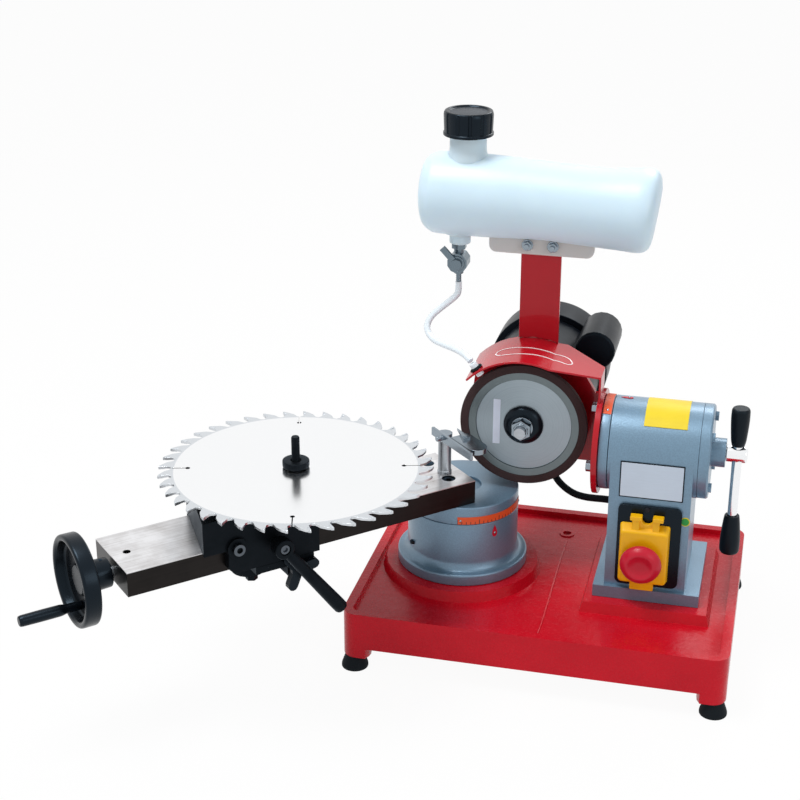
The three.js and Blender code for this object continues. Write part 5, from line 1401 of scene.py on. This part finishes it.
@dataclass
class FeedLever:
    """The quill in the housing and the two-handled chrome lever."""

    x: float = 171.5

    def build(self) -> None:
        """Makes the quill, the spindle, the lever's hub and rod, and the grips."""
        line = HOUSING.origin
        quill = [(0, 37.5), (20, 37.5, 0.6), (20, 54), (30, 54, 0.5), (30, 116, 0.6), (12, 116, 0.5), (12, 66),
                 (0, 66)]
        lathe("quill_turned", quill, Axis.X, line, 72, PAINT.ground, "quill", WORLD, ("feed_quill",))
        spindle = [(0, 117), (24, 117, 0.8), (24, 130, 0.8), (7, 130, 0.5), (7, 160.6, 0.3), (4.5, 160.6),
                   (4.5, 176), (0, 176)]
        lathe("spindle_turned", spindle, Axis.X, line, 56, PAINT.ground, "feed_lever", WORLD, ("cam_spindle",))
        hub = rounded([(0, 176.3), (4.8, 176.3), (4.8, 161.3, 0.2), (8, 161.3, 0.7), (8, 179.6, 0.5), (7, 181, 0.8),
                       (0, 181)])
        rod = rounded([(0, 138), (4.7, 138, 0.4), (4.7, 226, 0.4), (0, 226)])
        shape = turned(hub, Axis.X, line, 56).joined(turned(rod, Axis.Z, (self.x, 0, 0), 40))
        piece("lever_chromed", shape, PAINT.chrome, "feed_lever", WORLD, ("feed_lever",))
        upper = [(5, 226.3), (5, 219, 0.3), (6, 219, 0.8), (7.2, 223.6, 3), (8.2, 234.4, 6), (8.9, 246.5, 5),
                 (8.7, 255.4, 1.6), (7.4, 257.5, 0.8), (0, 257.5)]
        lower = [(5, 137.7), (5, 145.5, 0.3), (7, 145.5, 0.8), (7.8, 140.7, 3), (9, 129.5, 6), (9.8, 117, 5),
                 (9.5, 107.6, 1.6), (8.2, 105.5, 0.8), (0, 105.5)]
        for node, grip in (("upper_grip", upper), ("lower_grip", lower)):
            lathe(f"{node}_moulding", [(0, grip[0][1]), *grip], Axis.Z, (self.x, 0, 0), 48, PAINT.grip,
                  "feed_lever", WORLD, (node,), 6)


@dataclass
class Head:
    """The grinding head: tilt ring, bracket, guard, post, motor and wheel."""

    spindle: Point = (-34.3, 0.0, 217.7)
    guard_radius: float = 74.0
    guard_bend: float = -7.8
    guard_slope: float = 0.077
    guard_end: float = 137.0
    bracket_side: float = 58.3
    nozzle: float = 127.5
    vents: int = 24

    def build(self) -> None:
        """Makes each piece of the head."""
        ring = [(20.3, 48), (20.3, 44.3, 0.4), (45.7, 44.3, 1.0), (45.7, 53.4, 1.0), (20.3, 53.4, 0.4), (20.3, 48)]
        lathe("tilt_ring_turned", ring, Axis.X, HOUSING.origin, 96, PAINT.grey, "head", WORLD, ("tilt_ring",))
        plate = eased("head_bracket", PAINT.sheet, 0.8, "bracket_plate")
        self.trim(plate.data)
        eased("wheel_guard", PAINT.sheet, 0.5, "guard_sheet")
        eased("tank_post", PAINT.sheet, 0.5, "tank_post_sheet")
        self.spray()
        for k, (y, z) in enumerate(((-10.2, 38.0), (-38.0, -10.2), (10.2, -38.0), (38.0, 10.2))):
            head = hexagon_head(Axis.X, (0, y, HOUSING.origin[2] + z), 5.6, (33.2, 38.5))
            piece(f"bracket_bolt_{k + 1}", head, PAINT.zinc, "head", bevel=0.4)
        self.guard_line()
        self.motor()
        self.wheel()

    def trim(self, mesh: bpy.types.Mesh) -> None:
        """Cuts the bracket's upper left corner off, from the guard's end down to the wheel's height.

        Args:
            mesh: the bracket's mesh.
        """
        angle, reach = math.radians(self.guard_end), self.guard_radius - 2
        low = np.array(self.spindle) - [self.bracket_side, 0, 0]
        line = np.array([reach * math.cos(angle) + self.bracket_side, 0, reach * math.sin(angle)])
        outward = Vector((-line[2], 0, line[0])).normalized()
        work = bmesh.new()
        work.from_mesh(mesh)
        cut = bmesh.ops.bisect_plane(work, geom=[*work.verts, *work.edges, *work.faces], dist=1e-7,
                                     plane_co=Vector(WORLD.put(low).tolist()), plane_no=outward, clear_outer=True)
        edges = [e for e in cut["geom_cut"] if isinstance(e, bmesh.types.BMEdge)]
        bmesh.ops.contextual_create(work, geom=edges)
        bmesh.ops.recalc_face_normals(work, faces=work.faces)
        work.to_mesh(mesh)
        work.free()

    def spray(self) -> None:
        """The nozzle in the guard: a black grommet and a pale pipe, both on a line from the axis."""
        angle = math.radians(self.nozzle)
        c, s = math.cos(angle), math.sin(angle)
        turn, place = np.array([[s, 0, c], [0, 1, 0], [-c, 0, s]]), np.array(self.spindle) - [0, 10, 0]
        grommet = [(4.05, 74.35), (6.5, 74.35, 0.3), (6.3, 76, 0.8), (4.05, 76.8, 0.6), (4.05, 74.35)]
        pipe = [(1.8, 67), (4, 67, 0.6), (4, 79.5, 0.3), (3.7, 81.3, 0.8), (1.8, 81.3, 0.3), (1.8, 67)]
        for name, profile, finish, replaces in (
            ("nozzle_grommet", grommet, PAINT.rubber, ("spray_nozzle",)), ("nozzle_pipe", pipe, PAINT.tube, ()),
        ):
            skin = turned(rounded(profile), Axis.Z, (0, 0, 0), 40).moved(turn, place)
            piece(name, skin, finish, "head", WORLD, replaces)

    def guard_line(self) -> None:
        """A plain white outline of a long oval painted on top of the guard."""
        places = [(-65.2, 10), (-63, 15.5), (-58, 18), (-45.7, 18), (-23, 18.4), (-5, 19), (5, 14.5), (10.2, 5),
                  (9.6, 0), (5, -0.5), (-4.5, 3.6), (-20.7, 3), (-36.5, 1.2), (-52.2, 0.6), (-61, 3.4), (-65.2, 10)]
        line = smooth_path([(x, y, 0.0) for x, y in places], 121)[:-1]
        ahead = np.roll(line, -1, axis=0) - np.roll(line, 1, axis=0)
        side = np.stack([ahead[:, 1], -ahead[:, 0]], axis=-1) / np.linalg.norm(ahead, axis=1)[:, None] * 0.55
        edges = ((1, 0.02), (1, 0.3), (-1, 0.3), (-1, 0.02))
        rings = [self.on_guard(line[:, :2] + side * way, up) for way, up in edges]
        points = np.stack(rings, axis=1).reshape(-1, 3)
        wrapped = [tuple(i % len(points) for i in face) for face in grid_faces(121, 4)]
        piece("guard_oval_line", Surface(points, wrapped), PAINT.white, "head")

    def on_guard(self, places: np.ndarray, up: float) -> np.ndarray:
        """Puts x and y on the guard's top, whose height is a circle and then a straight slope.

        Args:
            places: x and y of each point.
            up: how far above the sheet.

        Returns:
            The points with their heights.
        """
        x = places[:, 0]
        square = self.guard_radius**2 - (x - self.spindle[0]) ** 2
        circle_part = self.spindle[2] + np.sqrt(np.maximum(square, 0))
        height = np.where(x < self.guard_bend, circle_part, 286.8 - (x - self.guard_bend) * self.guard_slope) + up
        return np.column_stack([places, height])

    def motor(self) -> None:
        """The motor: shell, capacitor, fan cover with two rings of black bars painted as the shade in its vents, and
        inner parts.
        """
        eased("motor_housing", PAINT.motor, 1.4, "motor_shell")
        eased("capacitor_cover", PAINT.motor, 1.6, "capacitor_case", corner=44.0)
        cover = [(52, 150.3), (62, 150.3, 1.2), (62, 192, 7), (56, 199.4, 3), (44, 199.6, 1), (12, 199.6, 1),
                 (0, 199.6), (0, 197.6), (44, 197.6), (56, 197, 2), (60, 191), (60, 152.3), (52, 152.3), (52, 150.3)]
        lathe("fan_cover_pressed", cover, Axis.Y, self.spindle, 112, PAINT.motor, "head", WORLD, ("fan_cover",),
              5)
        # painted shade: black bars laid on the closed cover stand for the dark openings of the vents
        for tag, low, high, count in (("outer", 33.0, 47.0, self.vents), ("inner", 17.0, 27.0, self.vents // 2)):
            corners = [(low, -1.5), (high, -1.5), (high, 1.5), (low, 1.5)]
            angles = np.linspace(0, 2 * np.pi, count, endpoint=False)
            bars = ring_of_blocks(corners, angles, self.spindle[::2], (199.3, 199.9), Axis.Y)
            piece(f"fan_vent_shade_{tag}", bars, PAINT.rubber, "head")
        coat(PAINT.ground, "motor_end_shield", "stator_core", "front_bearing", "rear_bearing")
        coat(PAINT.tap, "tap_body")

    def wheel(self) -> None:
        """The dish wheel with its rings, flanges, nut and bare label."""
        metal = DiscMetal("wheel_disc", 0x9BA8B0, centre=tuple(float(v) for v in WORLD.put(np.array(self.spindle))))
        body = [(16, 2.0), (46.8, 2.0, 0.3), (47.2, 2.4), (47.2, 6), (40, 9), (30, 13, 0.5), (16, 13), (16, 2.0)]
        bond = [(47.2, 1.1, 0.1), (47.3, 1.1), (54.4, 0.5, 0.3), (54.5, 5.9), (47.2, 6), (47.2, 1.1)]
        grit = [(54.5, 3), (54.5, 0.0, 0.3), (62.5, 0.0, 0.8), (62.5, 6, 0.6), (54.5, 7.2), (54.5, 3)]
        flange = [(5.8, 1.7), (5.8, -4.8, 0.2), (14, -4.8, 1.2), (17, -3.2, 1.5), (19.5, -0.4, 1.2), (19.5, 1.7),
                  (5.8, 1.7)]
        washer = [(5.9, -5.1), (10.6, -5.1, 0.3), (10.6, -6.2, 0.4), (5.9, -6.2), (5.9, -5.1)]
        for name, profile, sides, finish, replaces, slot in (
            ("wheel_body", body, 112, metal, ("grinding_wheel",), "core"),
            ("wheel_bond_ring", bond, 112, PAINT.wheel_ring, (), None),
            ("wheel_grit_ring", grit, 128, PAINT.grit, (), None),
            ("outer_flange_turned", flange, 80, PAINT.moulded, ("outer_flange",), "black_oxide"),
        ):
            lathe(name, profile, Axis.Y, self.spindle, sides, finish, "wheel_spindle", WORLD, replaces)
        eased("arbor_nut", PAINT.zinc, 0.6, "arbor_nut_plated")
        lathe("arbor_washer", washer, Axis.Y, self.spindle, 56, PAINT.zinc, "wheel_spindle")
        coat(PAINT.ground, "rotor_shaft")
        eased("inner_flange", PAINT.black, 0.4, "inner_flange_turned")
        x, _, z = self.spindle
        label = pushed(rectangle((x - 30.1, x - 23.1), (z - 22.8, z + 24.2), 0.5), Axis.Y, 1.7, 1.98)
        piece("wheel_label_blank", label, PAINT.label, "wheel_spindle")


@dataclass
class Coolant:
    """The coolant tank, its cap, tap and pale hose."""

    y: float = 43.0
    neck: float = -102.0
    outlet: float = -108.5
    tap_x: float = -109.3
    rings: tuple[tuple[float, ...], ...] = (
        (-145, 433.5, 24, 0), (-142.1, 433.5, 32, 0), (-136.2, 433.5, 36.8, 0), (-126.4, 433.5, 39.3, 0),
        (-79.5, 433, 39.3, 0), (-30.6, 432, 37.3, 0), (21.2, 429.2, 37.5, 1), (50.5, 429, 39, 2.2),
        (63, 429, 40, 2.6), (70.5, 429, 39, 2.8), (75, 429, 36, 2.8), (77.4, 429, 31, 2.8), (78.6, 429, 23, 2.8),
    )
    route: tuple[Point, ...] = (
        (-109.3, 43, 345), (-109.3, 43, 338), (-110.6, 42.4, 331.5), (-118, 41, 324), (-127, 38, 316.5),
        (-134.5, 34, 309), (-137.5, 30, 301), (-134.5, 25, 294.5), (-127.5, 19.5, 290.5), (-117.5, 13.5, 289.3),
        (-106.5, 7, 288.8), (-97, 0.5, 287.8), (-90.5, -4.5, 286), (-86, -8, 283.4),
    )

    def hose(self) -> None:
        """The hose from the tap's spout to the nozzle on the guard."""
        path = smooth_path(self.route, 90)
        made = piece("coolant_hose_tube", swept(path, 3.2, 20), PAINT.tube, "head", WORLD, ("coolant_hose",))
        metres, length = measured(path)

    def build(self) -> None:
        """Makes the tank, the cap and the tap's lever."""
        self.tank()
        self.bolts()
        self.cap()
        eased("tap_lever", PAINT.tap, 0.6, "tap_lever_plated")
        self.tap()

    def tank(self) -> None:
        """The blown tank with its neck, outlet and web.

        Its rings are circles whose centre, radius and lean change smoothly along its length. The
        x of each leans by a share of its own sine. The values between the given rings are read
        along a smooth curve through them.
        """
        given, sides, rows = np.array(self.rings), 72, 72
        wanted = np.linspace(0, (len(given) - 1) * 10, rows)
        dense = []
        for column in given.T:
            curve = smooth_path([(i * 10.0, value, 0.0) for i, value in enumerate(column)], 60)
            dense.append(np.interp(wanted, curve[:, 0], curve[:, 1]))
        middle = np.stack(dense, axis=-1)
        first, last = middle[0] * [1, 1, 0, 0], middle[-1] * [1, 1, 0, 0] + [0.8, 0, 0, 0]
        x, height, radius, lean = np.vstack([first, middle, last]).T[:, :, None]
        angle = np.linspace(0, 2 * np.pi, sides, endpoint=False)
        c, s = np.cos(angle), np.sin(angle)
        points = np.stack([x + lean * s, self.y + radius * c, height + radius * s], axis=-1).reshape(-1, 3)
        skin = Surface(points, grid_faces(rows + 2, sides))
        piece("tank_blown", skin, PAINT.tank, "head", WORLD, ("coolant_tank",))
        neck = [(0, 468), (19.5, 468), (18.2, 473.5, 3), (17.5, 477, 2), (17.5, 492, 0.6), (14, 492, 0.5), (14, 472),
                (0, 472)]
        outlet = [(0, 400), (10.3, 400), (10.3, 385.4, 1.0), (9.4, 384.5, 0.6), (0, 384.5)]
        dome = [(0, 402), (19, 402), (17.5, 396, 2), (11, 393.2, 2), (10.4, 392, 1), (0, 392)]
        for name, profile, place, count, steps in (
            ("neck", neck, self.neck, 64, 5), ("outlet", outlet, self.outlet, 48, 4),
            ("outlet_dome", dome, self.outlet, 56, 5),
        ):
            lathe(f"tank_{name}", profile, Axis.Z, (place, self.y, 0), count, PAINT.tank, "head",
                  steps=steps)
        web = pushed(rectangle((-79, 22), (379.6, 404), 7), Axis.Y, 36.5, 45.5)
        piece("tank_web", web, PAINT.web, "head", bevel=1.5)

    def bolts(self) -> None:
        """Two zinc bolts with washers that hold the tank's web to the post."""
        washer = [(0, 36.4), (5.6, 36.4, 0.3), (5.6, 35.2, 0.4), (0, 35.2)]
        end = [(0, 31.4), (2.6, 31.4), (2.6, 28.8, 0.6), (0, 28.8)]
        for tag, x in (("left", -41.6), ("right", -17.0)):
            place = (x, 0, 389.2)
            lathe(f"tank_bolt_{tag}_washer", washer, Axis.Y, place, 32, PAINT.zinc, "head")
            nut = hexagon_head(Axis.Y, place, 4.8, (31.2, 35.2))
            piece(f"tank_bolt_{tag}_nut", nut, PAINT.zinc, "head", bevel=0.5)
            lathe(f"tank_bolt_{tag}_end", end, Axis.Y, place, 20, PAINT.zinc, "head")

    def cap(self) -> None:
        """The ribbed cap: a wall whose radius steps in at each rib, under a dished top."""
        rings = rounded([(0, 509.6), (20.5, 509.6, 1), (20.9, 491.4, 0.3), (23.9, 491.4, 0.6), (23.9, 494, 0.3),
                         (23.0, 494.6, 0.3), (23.6, 511, 1.5), (22.6, 514.4, 1.2), (19.5, 514.6, 0.8),
                         (18.2, 512.9, 1), (0, 512.7)])
        skin = turned(rings, Axis.Z, (0, 0, 0), 144)
        x, y, z = skin.points.T
        wall = (np.hypot(x, y) > 22.4) & (z > 494.5) & (z < 513.5)
        wave = 1 - 0.045 * (np.cos(np.arctan2(y, x) * 12) < -0.55)
        shape = skin.fluted(np.where(wall, wave, 1.0), (self.neck, self.y, 0))
        piece("tank_cap_moulding", shape, PAINT.moulded, "tank_cap", WORLD, ("tank_cap",))
        lathe("tank_cap_disc", [(0, 512.5), (17.4, 512.5), (17.4, 513.2, 0.3), (0, 513.2)], Axis.Z,
              (self.neck, self.y, 0), 64, PAINT.cap_disc, "tank_cap")

    def tap(self) -> None:
        """Small turned details on the tap: its front cap and the spout's ribs."""
        lathe("tap_front_cap", [(0, 33.6), (7.4, 33.6, 0.6), (7.4, 32.4, 0.8), (0, 32.2)], Axis.Y,
              (self.tap_x, 0, 366), 40, PAINT.tap, "tap_lever")
        place = np.linspace(346, 354, 40)
        ribs = np.stack([2.35 + 0.35 * np.abs(np.sin(place * 1.6)), place], axis=-1)
        spout = turned(np.vstack([[(0, 346)], ribs, [(0, 354)]]), Axis.Z, (self.tap_x, self.y, 0), 24)
        piece("tap_spout_ribs", spout, PAINT.tap, "head")


@dataclass
class Lead:
    """The motor's lead, from the gland under the motor to the hole in the stand."""

    route: tuple[Point, ...] = (
        (-20, 84, 162), (-20, 84, 153), (-18.5, 82, 143), (-14, 77.5, 133.5), (-7, 71.5, 126.5), (2.5, 64, 122.5),
        (13, 56, 121.5), (24, 48, 123.5), (34, 40.5, 127), (43, 34, 130.4), (50, 30.6, 132), (57, 30, 132),
        (77, 30, 132),
    )

    def build(self) -> None:
        """Makes the lead as a tube along its route, on no body."""
        path = smooth_path(self.route, 60)
        made = piece("motor_lead_cable", swept(path, 3.6, 20), PAINT.rubber, None, WORLD, ("motor_lead",))
        metres, length = measured(path)
        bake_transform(made)


@dataclass
class Studio:
    """The camera, the lamps, the floor and the world."""

    eye: Point = (199.9, -1448.0, 874.7)
    azimuth: float = 13.87
    elevation: float = 23.32
    lens: float = 74.15
    target: Point = (-40.0, 0.0, 180.0)
    lamp_size: float = 700.0
    lamps: tuple[tuple[str, Point, float], ...] = (
        ("key", (-500.0, -300.0, 1700.0), 17.0),
        ("fill", (1100.0, -900.0, 900.0), 3.0),
        ("rim", (300.0, 1200.0, 1300.0), 7.0),
    )
    floor_share: float = 0.95

    def camera(self) -> None:
        """Puts the camera where the photograph was taken from."""
        a, e = math.radians(self.azimuth), math.radians(self.elevation)
        ahead = Vector((-math.sin(a) * math.cos(e), math.cos(a) * math.cos(e), -math.sin(e)))
        data = bpy.data.cameras.new("camera")
        data.lens = self.lens
        data.sensor_width = 36.0
        data.clip_start, data.clip_end = 0.05, 50.0
        made = bpy.data.objects.new("camera", data)
        made.location = Vector(WORLD.put(np.array(self.eye)).tolist())
        made.rotation_euler = ahead.to_track_quat("-Z", "Y").to_euler()
        bpy.context.scene.collection.objects.link(made)
        bpy.context.scene.camera = made

    def floor(self) -> None:
        """A pale floor that looks white to the camera and keeps a soft shadow."""
        mesh = bpy.data.meshes.new("floor")
        mesh.from_pydata([(-6, -6, 0), (6, -6, 0), (6, 6, 0), (-6, 6, 0)], [], [(0, 1, 2, 3)])
        made = bpy.data.objects.new("floor", mesh)
        bpy.context.scene.collection.objects.link(made)
        material = bpy.data.materials.new("floor_white")
        material.use_nodes = True
        tree = Tree(material.node_tree)
        tree.set(Base_Color=(0.9, 0.9, 0.9, 1), Roughness=0.9, Specular_IOR_Level=0.1)
        plain = tree.add("ShaderNodeEmission")
        plain.inputs["Color"].default_value = (1, 1, 1, 1)
        plain.inputs["Strength"].default_value = 1.0
        mix = tree.add("ShaderNodeMixShader")
        tree.link(tree.span(tree.seen_plainly(), 0.0, self.floor_share), mix.inputs["Fac"])
        tree.link(tree.shader.outputs[0], mix.inputs[1])
        tree.link(plain.outputs[0], mix.inputs[2])
        tree.link(mix.outputs[0], material.node_tree.nodes["Material Output"].inputs["Surface"])
        mesh.materials.append(material)

    def light(self) -> None:
        """Soft lamps, and a world that is white to the camera and in reflections but plain as light."""
        target = Vector(WORLD.put(np.array(self.target)).tolist())
        for name, place, power in self.lamps:
            data = bpy.data.lights.new(name, "AREA")
            data.shape = "DISK"
            data.size = self.lamp_size * MM
            data.energy = power
            made = bpy.data.objects.new(name, data)
            made.location = Vector(WORLD.put(np.array(place)).tolist())
            made.rotation_euler = (target - made.location).to_track_quat("-Z", "Y").to_euler()
            bpy.context.scene.collection.objects.link(made)
        world = bpy.data.worlds.new("studio")
        bpy.context.scene.world = world
        world.use_nodes = True
        tree, back = Tree(world.node_tree), world.node_tree.nodes["Background"]
        tree.link(tree.span(tree.seen_plainly(), 0.5, 1.0), back.inputs["Strength"])
        back.inputs["Color"].default_value = (1, 1, 1, 1)


def main() -> None:
    """Builds the studio, the cords and every sub-assembly, in that order."""
    bpy.context.scene.view_settings.view_transform = "Standard"
    studio = Studio()
    studio.camera()
    coolant = Coolant()
    coolant.hose()
    Lead().build()
    for part in (Tray(), Turntable(), RailAssembly(), Carriage(), Blade(), Stand(), FeedLever(), Head(), coolant):
        log.info("building %s", type(part).__name__)
        part.build()
    studio.floor()
    studio.light()


if __name__ == "__main__":
    main()
